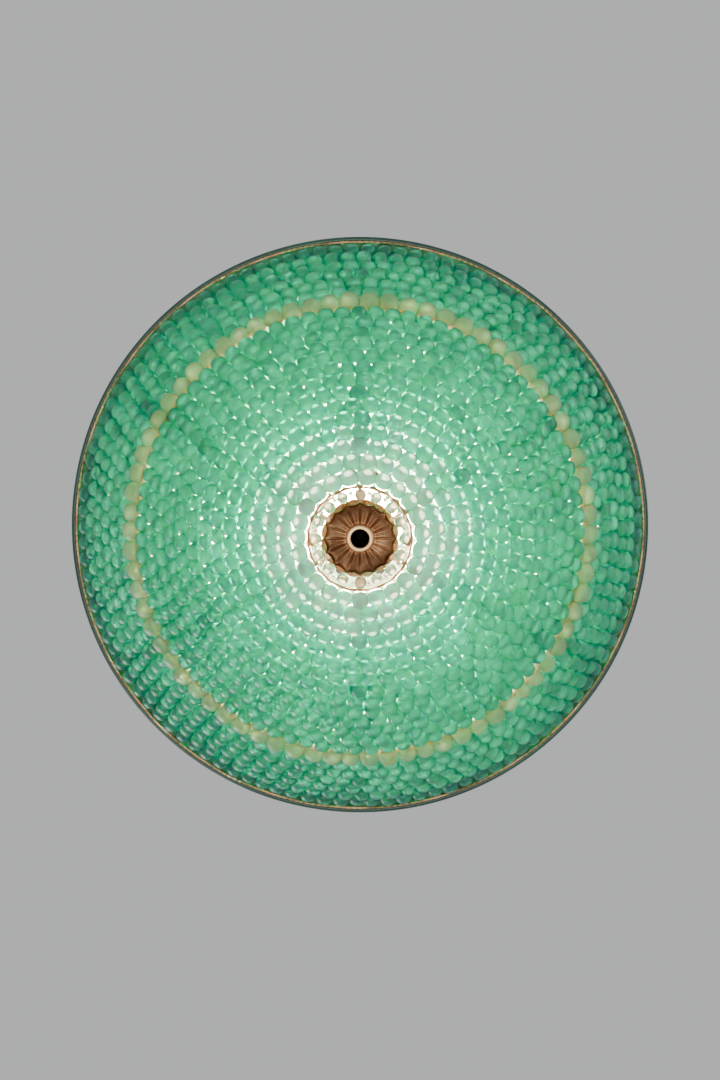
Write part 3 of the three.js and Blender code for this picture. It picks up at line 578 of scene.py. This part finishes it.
def add_course(index, node):
    clear = index == CLEAR_COURSE
    z = middle(node)
    radius = radius_at(z)
    slope = bowl_point(radius)[2]
    beads = Beads(100 + index)
    rnd = beads.random
    wide = BEAD_RADIUS * (1.17 if clear else 1.0)
    count = round(TURN * radius / (1.94 * wide))
    proud = 1.3 * MM if clear else 0
    # Painted glow: the lower courses, nearest the bulb, are made paler to stand in for its glare shining
    # through them.
    painted_glare = 0.03 + 0.75 * max(0.0, (index - 6) / 15) ** 2.4
    sizes = [rnd.uniform(0.95, 1.05) * (0.86 if rnd.random() < 0.05 else 1.0) for _ in range(count)]
    share = TURN / sum(sizes)
    angle = share * (0.5 if index % 2 else 0)
    for size in sizes:
        angle += size * share / 2
        bead = min(1.05, max(0.9, size)) * wide
        r = radius + proud * math.sin(slope) + rnd.gauss(0, 0.15 * MM)
        height = z - proud * math.cos(slope) + rnd.gauss(0, 0.25 * MM)
        height = max(height, LOWEST + 1.09 * bead)
        centre = (r * math.cos(angle), r * math.sin(angle), height)
        along = (-math.sin(angle), math.cos(angle), 0)
        out = math.sin(slope)
        normal = (out * math.cos(angle), out * math.sin(angle), -math.cos(slope))
        # Each bead's tint is its own random depth of colour plus the painted glow of its course.
        depth = (0.4 if clear else painted_glare) + 0.3 * rnd.betavariate(3, 3)
        beads.add(centre, along, normal, bead, size * share * radius / 2 * 1.04, tint=depth)
        angle += size * share / 2
    name = "beads_clear" if clear else f"beads_{index:02d}"
    beads.piece(name, CLEAR if clear else EMERALD, "bowl", [node], "clear_glass" if clear else "green_glass")
    wire = ring(radius, 0.14 * MM, z, segments=120, sides=5)
    piece(f"string_{index:02d}", *wire, COPPER, "bowl", slot="copper_wire")


for number, course_node in enumerate(COURSE_NODES, start=1):
    add_course(number, course_node)


# ---- Bowl frame -------------------------------------------------------------------------------------------
STUD_ANGLES = [math.pi / 2 + TURN * i / 3 for i in range(3)]


def stud_places():
    return [(HOOP_RADIUS * math.cos(a), HOOP_RADIUS * math.sin(a)) for a in STUD_ANGLES]


def threaded(radius, bottom, top, pitch, depth, segments=24, core=0.0):
    """A rod along Z with a thread cut round it."""
    steps = max(4, int((top - bottom) / pitch * 6))
    rows = [(core, bottom)]
    rows += [(radius, bottom + (top - bottom) * i / steps) for i in range(steps + 1)]
    rows.append((core, top))

    def shape(r, z, angle):
        if r <= core + 1e-9 or z <= bottom or z >= top:
            return (r if r <= core + 1e-9 else r - depth), z
        return r - depth * (0.5 + 0.5 * math.cos(TURN * z / pitch - angle)), z
    return turned(rows, segments, shape)


def add_rim_hoop():
    z = low("rim_hoop")[2] + HOOP_WIRE
    hoop = ring(HOOP_RADIUS, HOOP_WIRE, z, 200, 14)
    top = high("rim_hoop")[2]
    studs = []
    for x, y in stud_places():
        stud = threaded(STUD_WIRE, z, top, 0.8 * MM, 0.18 * MM, 16)
        studs.append(moved(stud, Matrix.Translation((x, y, 0))))
    piece("rim_hoop_rod", *merge(hoop, *studs), COPPER, "bowl", ["rim_hoop"], "copper_wire")


def add_ribs():
    offset = BEAD_RADIUS + RIB_GAP + RIB_WIRE
    end = RIB_END + offset * math.sin(bowl_point(RIB_END)[2]) + 0.6 * MM
    for i in range(RIBS):
        angle = TURN * (i + 0.5) / RIBS
        points = []
        for k in range(41):
            radius = FIRST_RADIUS + (end - FIRST_RADIUS) * k / 40
            r, z, _ = bowl_point(radius, offset)
            points.append((r * math.cos(angle), r * math.sin(angle), z))
        wire = swept(points, RIB_WIRE, 10)
        piece(f"rib_wire_{i + 1}", *wire, AGED, "bowl", [f"rib_{i + 1}"], "copper_wire")


def add_lashing():
    """A fine wire that weaves over and under the beads below the clear course, seen from outside."""
    radius = radius_at(middle(COURSE_NODES[CLEAR_COURSE - 1]))
    _, _, slope = bowl_point(radius)
    waves = round(TURN * radius / (1.94 * BEAD_RADIUS))
    points = []
    for i in range(waves * 8):
        angle = TURN * i / (waves * 8)
        swing = math.sin(waves * angle)
        r, height, _ = bowl_point(radius, -0.55 * BEAD_RADIUS)
        shift = (4.6 + 0.7 * swing) * MM
        r -= shift * math.cos(slope)
        height -= shift * math.sin(slope)
        points.append((r * math.cos(angle), r * math.sin(angle), height))
    piece("lashing_1", *swept(points, 0.32 * MM, 6, closed=True), COPPER, "bowl", slot="copper_wire")


def add_hem_wire():
    """Two fine bright wires twisted together, laid under the folded edge of the cover."""
    radius, z = RIM_RADIUS - 2.9 * MM, HEM_Z - 0.25 * MM
    turns = 150
    strands = []
    for start in (0, math.pi):
        points = []
        for i in range(turns * 8):
            angle = TURN * i / (turns * 8)
            lap = turns * angle + start
            r = radius + 0.3 * MM * math.cos(lap)
            points.append((r * math.cos(angle), r * math.sin(angle), z + 0.3 * MM * math.sin(lap)))
        strands.append(swept(points, 0.3 * MM, 5, closed=True))
    piece("hem_wire", *merge(*strands), BRIGHT, "stem", slot="brass")


add_rim_hoop()
add_hem_wire()
add_ribs()
add_lashing()


# ---- Bottom fitting ---------------------------------------------------------------------------------------
CLEAR_BEADS = 16
CLEAR_BEAD_RADIUS = 3.0 * MM


def add_bottom_hoop():
    """The bowl's lowest hoop: a rod closely bound with finer wire."""
    z = middle("bottom_hoop")
    radius = outer_radius("bottom_hoop") - 0.8 * MM
    hoop = ring(radius, 0.55 * MM, z, 180, 10)
    turns = 150
    points = []
    for i in range(turns * 8):
        angle = TURN * i / (turns * 8)
        lap = turns * angle
        r = radius + 0.62 * MM * math.cos(lap)
        height = z + 0.62 * MM * math.sin(lap)
        points.append((r * math.cos(angle), r * math.sin(angle), height))
    wrap = swept(points, 0.17 * MM, 5, closed=True)
    piece("bottom_hoop_bound", *merge(hoop, wrap), COPPER, "bowl", ["bottom_hoop"], "copper_wire")


def add_clear_ring():
    """Sixteen clear beads round the rosette, with a small one outside each gap."""
    z = middle("clear_bead_ring")
    ring_radius = outer_radius("clear_bead_ring") - 2.8 * MM
    beads = Beads(7)
    rnd = beads.random
    for i in range(CLEAR_BEADS):
        angle = TURN * (i + rnd.uniform(-0.04, 0.04)) / CLEAR_BEADS
        radius = ring_radius + rnd.gauss(0, 0.08 * MM)
        centre = (radius * math.cos(angle), radius * math.sin(angle), z + 0.7 * MM)
        along = (-math.sin(angle), math.cos(angle), 0)
        beads.add(centre, along, (0, 0, -1), CLEAR_BEAD_RADIUS * rnd.uniform(0.97, 1.02), tint=0.9, lean=0.05)
        gap = angle + TURN / CLEAR_BEADS / 2
        outward = (math.cos(gap), math.sin(gap), 0)
        radius = ring_radius + 1.35 * MM
        place = (radius * math.cos(gap), radius * math.sin(gap), z - 0.5 * MM)
        beads.add(place, outward, (0, 0, -1), 1.3 * MM, tint=0.8, template=SMALL_TEMPLATE)
    beads.piece("clear_beads", CRYSTAL, "bowl", ["clear_bead_ring"], "clear_glass")
    piece("clear_bead_string", *ring(ring_radius, 0.11 * MM, z, 96, 6), COPPER, "bowl", slot="copper_wire")


FLUTES = 16


def ridge(angle, radius, width):
    """1 on a ridge line of the rosette, falling away within a width measured along the arc."""
    pitch = TURN / FLUTES
    off = (angle + pitch / 2) % pitch - pitch / 2
    return math.exp(-((off * radius / width) ** 2))


def add_rosette():
    """A stamped cup that opens downward. Sixteen ridges run to the points of its edge, with a finer
    rib between each two, and the edge draws in between the points."""
    top = high("rosette")[2] - 0.7 * MM
    edge = outer_radius("rosette")
    depth = top - low("rosette")[2] - 0.7 * MM
    flat = outer_radius("ring_nut") + 0.4 * MM
    wall = 0.5 * MM
    inner = outer_radius("ferrule") + FERRULE_GAP
    upper = [(inner, 0.0), (flat, 0.0)]
    for i in range(1, 25):
        share = i / 24
        sag = 0.55 * share + 0.45 * (1 - math.cos(share * math.pi / 2))
        upper.append((flat + (edge - flat) * math.sin(share * math.pi / 2), -depth * sag * share**0.35))
    lower = [(r - wall * 0.5 * (r / edge) ** 3, z - wall) for r, z in reversed(upper)]
    profile = [(r, top + z) for r, z in upper + lower]

    def stamped(r, z, angle):
        share = min(1.0, max(0.0, (r - flat) / (edge - flat)))
        rise = min(1.0, share * 5)
        hollow = abs(math.sin(FLUTES * angle / 2))
        scallop = max(0.0, share - 0.55) / 0.45
        crest = 1.5 * ridge(angle, r, 0.5 * MM) * rise
        between = 1.4 * ridge(angle + TURN / FLUTES / 2, r, 0.4 * MM) * rise
        petal = hollow * share * (1 - share) * 1.6
        lift = crest + 0.45 * between * (1 - share) + 0.35 * petal
        lift *= 1 - share**4
        height = z - (lift - 0.55 * share * (1 - scallop)) * 0.7 * MM
        return r - scallop * 1.2 * MM * hollow, max(LOWEST, height)
    shape = turned(profile, FLUTES * 36, stamped)
    piece("rosette_stamped", *shape, ROSETTE, "bowl", ["rosette"], "bronze", sharp=80)


def add_plate():
    """The plate behind the rosette: a scalloped, dished edge and a spoke to each rib."""
    bottom, top = low("bottom_plate")[2], high("bottom_plate")[2]
    edge = 20.2 * MM
    hole = outer_radius("ferrule") + FERRULE_GAP
    thick = top - bottom
    profile = [
        (hole, bottom + 0.5 * MM), (edge - 3 * MM, bottom + 0.5 * MM), (edge - 1.2 * MM, bottom + 0.2 * MM),
        (edge - 0.2 * MM, bottom), (edge, bottom + 0.25 * MM), (edge - 0.3 * MM, bottom + 0.9 * MM),
        (edge - 1.4 * MM, top), (hole, top),
    ]

    def scalloped(r, z, angle):
        share = max(0.0, (r - (edge - 3.2 * MM)) / (3.2 * MM))
        return r - share * 0.9 * MM * (1 - abs(math.sin(FLUTES * angle / 2))), z
    disc = turned(profile, FLUTES * 16, scalloped)
    spokes = []
    for i in range(RIBS):
        angle = TURN * (i + 0.5) / RIBS
        start, half = edge - 2 * MM, 1.2 * MM
        centre = RIB_END - half
        outline = [(start, -half), (centre, -half)]
        outline += [(centre + half * math.sin(a), -half * math.cos(a)) for a in np.linspace(0, math.pi, 9)]
        outline += [(start, half)]
        spoke = prism(outline, thick - 0.2 * MM, lambda u, v, w: (u, v, (bottom + top) / 2 + w))
        spokes.append(moved(spoke, Matrix.Rotation(angle, 4, "Z")))
    piece("plate_scalloped", *merge(disc, *spokes), BRIGHT, "bowl", ["bottom_plate"], "brass", sharp=45)


def add_bottom_hardware():
    top, bottom, outer = high("ring_nut")[2], low("ring_nut")[2], outer_radius("ring_nut")
    inner = outer_radius("ferrule") + FERRULE_GAP
    bore = 4.7 * MM
    round_edge = 1.2 * MM
    profile = [(inner, top), (outer - 0.3 * MM, top), (outer, top - 0.4 * MM)]
    profile += arc((outer - round_edge, bottom + round_edge), round_edge, 0, -90, 10)
    profile += arc((bore + 0.5 * MM, bottom + 0.5 * MM), 0.5 * MM, -90, -180, 6)
    profile += [(bore, bottom + 1.2 * MM), (inner, bottom + 1.2 * MM)]
    piece("ring_nut_polished", *turned(profile, 120), BRIGHT, "bowl", ["ring_nut"], "brass")

    top, bottom, outer = high("ferrule")[2], low("ferrule")[2], outer_radius("ferrule")
    bore = 4.1 * MM
    steps = 90
    outside = [(outer, bottom + (top - bottom) * i / steps) for i in range(steps + 1)]
    cap = top - 1.2 * MM
    profile = [(0, cap), (bore - 0.6 * MM, cap), (bore, cap - 0.6 * MM), (bore, bottom + 0.3 * MM)]
    profile += [(bore + 0.25 * MM, bottom)] + outside + [(outer - 0.5 * MM, top), (0, top)]

    def thread(r, z, angle):
        if r < outer - 1e-6:
            return r, z
        return r - 0.14 * MM * (1 + math.cos(TURN * z / MM - angle)), z
    # The ferrule takes the near-black painted shade of the hole.
    piece("ferrule_threaded", *turned(profile, 48, thread), HOLE_SHADE_BRONZE, "bowl", ["ferrule"], "brass", sharp=60)


def hex_nut(name, node, bore, body):
    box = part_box(node)
    across = box[1][1] - box[0][1]
    radius = across / 2
    low_z, high_z = box[0][2], box[1][2]
    centre = ((box[0][0] + box[1][0]) / 2, 0, 0)
    chamfer = 0.7 * MM
    segments = 72

    def shape(r, z, angle):
        if r < bore + 1e-6:
            return r, z
        off = ((angle + math.pi / 6) % (math.pi / 3)) - math.pi / 6
        wall = radius * math.cos(math.pi / 6) / math.cos(off)
        crest = radius * 0.965 if (z < low_z + 1e-6 or z > high_z - 1e-6) else radius
        return min(wall, crest), z
    profile = [
        (bore, low_z), (radius, low_z), (radius + 1e-7, low_z + chamfer),
        (radius + 1e-7, high_z - chamfer), (radius, high_z), (bore, high_z),
    ]
    nut = moved(turned(profile, segments, shape), Matrix.Translation(centre))
    piece(name, *nut, BRASS, body, [node], "brass")


add_bottom_hoop()
add_clear_ring()
add_rosette()
add_plate()
add_bottom_hardware()
hex_nut("ferrule_nut_hex", "ferrule_nut", 5.0 * MM, "bowl")


# ---- Cover ------------------------------------------------------------------------------------------------
def add_cover():
    """The spun cover: flat brim, domed middle, rolled hem; dark green enamel outside, emerald inside."""
    wall = 1.5 * MM
    hem = 1.5 * MM
    corner = 2 * MM
    brim = RIM_RADIUS - 17 * MM
    skirt = 8 * MM
    rise = COVER_TOP - RIM_Z
    hole = 5.3 * MM
    land = 10 * MM

    def dome(radius):
        return RIM_Z + skirt + (rise - skirt) * (1 - (radius / brim) ** 2.2)
    outer = arc((RIM_RADIUS - hem, HEM_Z + hem), hem, -90, 0, 6)
    outer += arc((RIM_RADIUS - corner, RIM_Z + skirt - corner), corner, 0, 90, 8)
    outer += [(brim + 4 * MM, RIM_Z + skirt), (brim + 1.5 * MM, RIM_Z + skirt + 0.25 * MM)]
    steps = 40
    curve = [brim + (land - brim) * i / steps for i in range(1, steps + 1)]
    outer += [(r, min(dome(r), COVER_TOP)) for r in curve]
    outer += [(land - 0.5 * MM, COVER_TOP), (hole, COVER_TOP)]
    inner = [(hole, COVER_TOP - wall), (land - 0.5 * MM, COVER_TOP - wall)]
    inner += [(r, min(dome(r), COVER_TOP) - wall) for r in reversed(curve)]
    inner += [(brim + 1 * MM, RIM_Z + skirt - wall), (RIM_RADIUS - wall - 0.4 * MM, RIM_Z + skirt - wall)]
    inner += [(RIM_RADIUS - wall, RIM_Z + skirt - wall - 0.6 * MM), (RIM_RADIUS - wall, RIM_Z)]
    inner += arc((RIM_RADIUS - hem, HEM_Z + hem), hem, 110, 270, 10)[:-1]
    profile = outer + inner
    segments = 240
    vertices, faces = turned(profile, segments)
    finishes = [ENAMEL, LINING]
    made = piece("cover_spun", vertices, faces, finishes, "stem", ["top_cover"], "green_enamel", sharp=40)
    first_inner = len(outer) * segments
    last_inner = (len(profile) - 11) * segments
    for face in made.data.polygons:
        indices = list(face.vertices)
        if all(first_inner <= i < last_inner for i in indices):
            face.material_index = 1
    cut_holes(made)


def cut_holes(cover):
    """Vents round the neck and three holes for the studs, cut through the cover."""
    vents, vent_ring = 8, 30 * MM
    tools = []
    for i in range(vents):
        angle = TURN * (i + 0.5) / vents
        tools.append((vent_ring * math.cos(angle), vent_ring * math.sin(angle), 2.5 * MM))
    tools += [(x, y, 2.4 * MM) for x, y in stud_places()]
    shapes = []
    start, end = RIM_Z + 2 * MM, COVER_TOP + 5 * MM
    for x, y, radius in tools:
        rod = turned([(0, start), (radius, start), (radius, end), (0, end)], 32)
        shapes.append(moved(rod, Matrix.Translation((x, y, 0))))
    vertices, faces = merge(*shapes)
    mesh = bpy.data.meshes.new("cover_holes")
    mesh.from_pydata(vertices, [], faces)
    shaped = bmesh.new()
    shaped.from_mesh(mesh)
    bmesh.ops.recalc_face_normals(shaped, faces=shaped.faces)
    shaped.to_mesh(mesh)
    shaped.free()
    tool = bpy.data.objects.new("cover_holes", mesh)
    bpy.context.collection.objects.link(tool)
    cut = cover.modifiers.new("holes", "BOOLEAN")
    cut.operation = "DIFFERENCE"
    cut.solver = "EXACT"
    cut.object = tool
    bpy.context.view_layer.update()
    graph = bpy.context.evaluated_depsgraph_get()
    result = bpy.data.meshes.new_from_object(cover.evaluated_get(graph))
    cover.modifiers.clear()
    cover.data = result
    cover.data.shade_smooth()
    cover.data.set_sharp_from_angle(angle=math.radians(40))
    bpy.data.objects.remove(tool)


def knurled(radius, bore, bottom, top, teeth, depth):
    """A ring with straight knurling round its edge and a chamfer at both ends."""
    chamfer = 0.6 * MM
    profile = [
        (bore, bottom), (radius - chamfer, bottom), (radius, bottom + chamfer),
        (radius, top - chamfer), (radius - chamfer, top), (bore, top),
    ]

    def shape(r, z, angle):
        if r < radius - 1e-6:
            return r, z
        return r - depth * (0.5 - 0.5 * math.cos(teeth * angle)), z
    return turned(profile, teeth * 6, shape)


def add_knurled_nuts():
    for i, (x, y) in enumerate(stud_places(), start=1):
        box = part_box(f"knurled_nut_{i}")
        shape = knurled(5.5 * MM, 2.3 * MM, box[0][2], box[1][2], 28, 0.35 * MM)
        shape = moved(shape, Matrix.Translation((x, y, 0)))
        piece(f"stud_nut_{i}", *shape, BRASS, f"nut_{i}", [f"knurled_nut_{i}"], "brass", sharp=50)


add_cover()
add_knurled_nuts()
hex_nut("cover_nut_hex", "cover_nut", 5.15 * MM, "stem")


# ---- Stem, swivel and canopy ------------------------------------------------------------------------------
def tube_piece(name, node, bore, body, material, slot, edge=0.4 * MM):
    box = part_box(node)
    outer, bottom, top = box[1][0], box[0][2], box[1][2]
    profile = [
        (bore, bottom), (outer - edge, bottom), (outer, bottom + edge),
        (outer, top - edge), (outer - edge, top), (bore, top),
    ]
    piece(name, *turned(profile, 64), material, body, [node], slot)


def ear(sign, axis, low_z, high_z, round_low):
    """One upright ear of a yoke, round at its free end."""
    half = EAR_HALF
    centre = (EAR_INNER + EAR_THICKNESS / 2) * sign
    turns = np.linspace(math.pi, TURN, 13) if round_low else np.linspace(0, math.pi, 13)
    end = low_z + half if round_low else high_z - half
    curve = [(half * math.cos(a), end + half * math.sin(a)) for a in turns]
    if round_low:
        outline = curve + [(half, high_z), (-half, high_z)]
    else:
        outline = curve + [(-half, low_z), (half, low_z)]
    if axis == "x":
        return prism(outline, EAR_THICKNESS, lambda u, v, w: (centre + w, u, v))
    return prism(outline, EAR_THICKNESS, lambda u, v, w: (u, centre + w, v))


def add_swivel():
    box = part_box("swivel_upper_yoke")
    flange_bottom = PIVOT_Z + PIVOT_DROP
    flange = box[1][0]
    top = box[1][2]
    plate_bottom = low("ceiling_bracket")[2]
    profile = [
        (3 * MM, flange_bottom), (flange - 0.5 * MM, flange_bottom),
        (flange, flange_bottom + 0.5 * MM), (flange, flange_bottom + 9.1 * MM),
        (flange - 0.5 * MM, flange_bottom + 9.6 * MM), (9.4 * MM, flange_bottom + 11 * MM),
        (9 * MM, flange_bottom + 13 * MM), (9 * MM, plate_bottom - 0.8 * MM),
        (8.5 * MM, plate_bottom - 0.3 * MM), (4.85 * MM, plate_bottom - 0.3 * MM),
        (4.85 * MM, top), (3 * MM, top),
    ]
    ears = [ear(s, "x", PIVOT_Z - EAR_REACH, flange_bottom + 0.4 * MM, True) for s in (-1, 1)]
    yoke = merge(turned(profile, 96), *ears)
    piece("upper_yoke", *yoke, BRASS, "ceiling", ["swivel_upper_yoke"], "brass", bevel=0.25 * MM)

    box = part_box("swivel_lower_yoke")
    base_top = PIVOT_Z - PIVOT_DROP
    bottom = box[0][2]
    profile = [
        (3.3 * MM, base_top), (9 * MM, base_top), (9.5 * MM, base_top - 0.5 * MM),
        (9.5 * MM, bottom + 1.5 * MM), (8 * MM, bottom), (5.2 * MM, bottom),
        (5.2 * MM, bottom + 4.5 * MM), (3.3 * MM, bottom + 4.5 * MM),
    ]
    ears = [ear(s, "y", base_top - 0.4 * MM, PIVOT_Z + EAR_REACH, False) for s in (-1, 1)]
    yoke = merge(turned(profile, 96), *ears)
    piece("lower_yoke", *yoke, BRASS, "stem", ["swivel_lower_yoke"], "brass", bevel=0.25 * MM)

    half = 4 * MM
    block = turned([
        (3.3 * MM, PIVOT_Z - half), (6 * MM, PIVOT_Z - half), (6.5 * MM, PIVOT_Z - half + 0.5 * MM),
        (6.5 * MM, PIVOT_Z + half - 0.5 * MM), (6 * MM, PIVOT_Z + half), (3.3 * MM, PIVOT_Z + half),
    ], 64)
    pins = []
    outline = [(0, 6.2), (2, 6.2), (2, 9.2), (1.7, 9.5), (0, 9.5)]
    for i in range(4):
        pin = turned([(r * MM, z * MM) for r, z in outline], 32)
        turn = Matrix.Rotation(TURN * i / 4, 4, "Z") @ Matrix.Rotation(math.pi / 2, 4, "Y")
        pins.append(moved(pin, Matrix.Translation((0, 0, PIVOT_Z)) @ turn))
    piece("cross_block", *merge(block, *pins), STEEL, "swivel_link", ["swivel_cross"], "steel")


def add_canopy():
    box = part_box("canopy")
    radius, bottom, top = box[1][0], box[0][2], box[1][2]
    wall = 1.2 * MM
    flat = outer_radius("canopy_collar") + 4 * MM
    hole = CANOPY_HOLE
    start = -4 * MM

    def bell(reach, depth):
        points = []
        for i in range(33):
            angle = math.pi / 2 * i / 32
            r = flat + (reach - flat) * math.cos(angle)
            points.append((r, start - (depth + start) * math.sin(angle)))
        return points
    outer = [(radius - 0.4 * MM, top), (radius, top - 0.5 * MM)] + bell(radius, -bottom)
    inner = [(hole, bottom + wall)] + list(reversed(bell(radius - wall, -bottom - wall)))
    lip = [(hole + 0.4 * MM, bottom), (hole, bottom + 0.4 * MM)]
    profile = outer + lip + inner + [(radius - wall, top)]
    piece("canopy_spun", *turned(profile, 160), BRONZE, "canopy", ["canopy"], "bronze", sharp=40)
    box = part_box("canopy_collar")
    shape = knurled(box[1][0], CANOPY_HOLE, box[0][2], box[1][2], 84, 0.4 * MM)
    piece("collar_knurled", *shape, BRASS, "canopy", ["canopy_collar"], "brass", sharp=50)


def add_leads():
    pipe_top = high("swivel_upper_yoke")[2]
    bend = 6 * MM
    entry = pipe_top + bend + 0.4 * MM
    start = high("lead_lower")[2] + 0.6 * MM
    points = [(0, 0, start + (entry - bend - start) * i / 10) for i in range(11)]
    for i in range(1, 13):
        t = i / 12
        points.append((bend * t * t, 0, entry - bend * (1 - t) ** 2))
    points += [(bend + (13.7 * MM - bend) * i / 4, 0, entry) for i in range(1, 5)]
    piece("upper_lead", *swept(points, LEAD_RADIUS, 14), SHEATH, "ceiling", ["lead_upper"], "lead_sheath")
    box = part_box("lead_lower")
    points = [(0, 0, box[0][2] + (box[1][2] - box[0][2]) * i / 20) for i in range(21)]
    piece("lower_lead", *swept(points, LEAD_RADIUS, 14), SHEATH, "stem", ["lead_lower"], "lead_sheath")


tube_piece("stem_drawn", "stem_tube", 3.6 * MM, "stem", BRONZE, "bronze")
add_swivel()
add_canopy()
add_leads()
finish_cad("ceiling_bracket", STEEL)
finish_cad("terminal_block", PORCELAIN)
hex_nut("bracket_nut_hex", "bracket_nut", 5.0 * MM, "ceiling")


# ---- Lampholder and bulb ----------------------------------------------------------------------------------
def add_lampholder():
    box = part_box("lampholder_cap")
    top, radius = box[1][2], box[1][0]
    points = [
        (5.3, 0), (9, 0), (9, -3), (11, -3.9), (15, -6), (17.8, -8.2), (19.4, -10.4), (20.2, -13),
        (20.5, -16), (18.5, -16), (18.2, -13.4), (17, -11.2), (14.6, -9.0), (11, -7.1), (5.3, -6),
    ]
    profile = [(r * MM, top + z * MM) for r, z in points]
    piece("holder_cap", *turned(profile, 96), BRASS, "stem", ["lampholder_cap"], "brass", bevel=0.2 * MM)
    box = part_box("lampholder_shell")
    bottom, top = box[0][2], box[1][2]
    inner = radius - 2 * MM
    profile = [(inner, bottom), (radius - 0.4 * MM, bottom), (radius, bottom + 0.4 * MM)]
    steps = 60
    profile += [(radius, bottom + 6 * MM + (top - bottom - 8 * MM) * i / steps) for i in range(steps + 1)]
    profile += [(radius - 0.4 * MM, top), (inner, top)]

    def thread(r, z, angle):
        if r < radius - 1e-6 or z < bottom + 7 * MM or z > top - 12 * MM:
            return r, z
        return r - 0.35 * MM * (0.5 + 0.5 * math.cos(TURN * z / (3 * MM) - angle)), z
    piece("holder_shell", *turned(profile, 96, thread), BRASS, "stem", ["lampholder_shell"], "brass")
    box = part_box("lampholder_insulator")
    reach, bottom, top, edge = box[1][0], box[0][2], box[1][2], 0.8 * MM
    profile = [
        (0, bottom), (reach - edge, bottom), (reach, bottom + edge),
        (reach, top - edge), (reach - edge, top), (0, top),
    ]
    piece("holder_insulator", *turned(profile, 72), PORCELAIN, "stem", ["lampholder_insulator"], "porcelain")
    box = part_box("lampholder_screw_shell")
    shape = threaded_sleeve(14.4 * MM, 13.8 * MM, box[0][2], box[1][2], 3.6 * MM, 0.25 * MM)
    piece("holder_screw_shell", *shape, COPPER, "stem", ["lampholder_screw_shell"], "copper_wire", sharp=60)
    finish_cad("lampholder_contact", BRASS)


def threaded_sleeve(outer, inner, bottom, top, pitch, depth):
    """A thin sleeve rolled into a round thread."""
    steps = int((top - bottom) / pitch * 10)
    heights = [bottom + (top - bottom) * i / steps for i in range(steps + 1)]
    profile = [(outer, z) for z in heights] + [(inner, z) for z in reversed(heights)]

    def shape(r, z, angle):
        return r - depth * (0.5 + 0.5 * math.cos(TURN * z / pitch - angle)), z
    return turned(profile, 64, shape)


def add_bulb():
    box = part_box("bulb_base")
    tip, bottom, radius = box[1][2], box[0][2], box[1][0]
    crown = tip - 1.5 * MM
    profile = [(0, tip), (3.6 * MM, tip), (4.5 * MM, tip - 0.4 * MM), (5.5 * MM, crown)]
    profile.append((10.3 * MM, crown - 2 * MM))
    steps = 60
    thread_top = crown - 4 * MM
    heights = [thread_top + (bottom - thread_top) * i / steps for i in range(steps + 1)]
    profile += [(radius, z) for z in heights]
    profile += [(radius - 0.8 * MM, z) for z in reversed(heights)]
    profile += [(9.3 * MM, crown - 3.6 * MM), (0, crown - 3.6 * MM)]

    def shape(r, z, angle):
        if r < radius - 0.9 * MM:
            return r, z
        fade = min(1.0, (z - bottom) / (3 * MM), (thread_top - z) / (2 * MM) + 0.2)
        wave = 0.5 + 0.5 * math.cos(TURN * z / (3.6 * MM) - angle)
        return r - 0.55 * MM * max(0.0, fade) * wave, z
    piece("bulb_screw_base", *turned(profile, 72, shape), STEEL, "bulb", ["bulb_base"], "steel", sharp=60)

    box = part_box("bulb_glass")
    ball = 22.5 * MM
    ball_z = box[0][2] + ball
    neck = 12.2 * MM
    top = box[1][2]
    wall = 1 * MM

    def outline(radius, throat):
        begin = math.asin(throat / radius)
        turns = np.linspace(math.pi, begin, 41)
        return [(radius * math.sin(a), ball_z + radius * math.cos(a)) for a in turns]
    outer = outline(ball, neck)
    outer[0] = (0.0, outer[0][1])
    inner = list(reversed(outline(ball - wall, neck - wall)))
    inner[-1] = (0.0, inner[-1][1])
    profile = outer + [(neck, top), (neck - wall, top)] + inner
    piece("bulb_globe", *turned(profile, 96), BULB, "bulb", ["bulb_glass"], "bulb_glass")
    finish_cad("bulb_light_column", PORCELAIN)


add_lampholder()
add_bulb()


# ---- Floor ------------------------------------------------------------------------------------------------
def add_floor():
    z = RIM_Z - 2.4
    size = 30
    mesh = bpy.data.meshes.new("floor")
    corners = [(-size, -size, z), (size, -size, z), (size, size, z), (-size, size, z)]
    mesh.from_pydata(corners, [], [(0, 1, 2, 3)])
    floor = bpy.data.objects.new("floor", mesh)
    bpy.context.collection.objects.link(floor)
    shader = Shader("pale_floor")
    stops = (0.3, linear(222, 221, 218)), (0.7, linear(230, 229, 226))
    shader.colour(shader.ramp(shader.noise(0.6, 3.0), *stops))
    shader.roughness(shader.noise(2.0, 2.0), 0.75, 0.9)
    mesh.materials.append(shader.material)


add_floor()
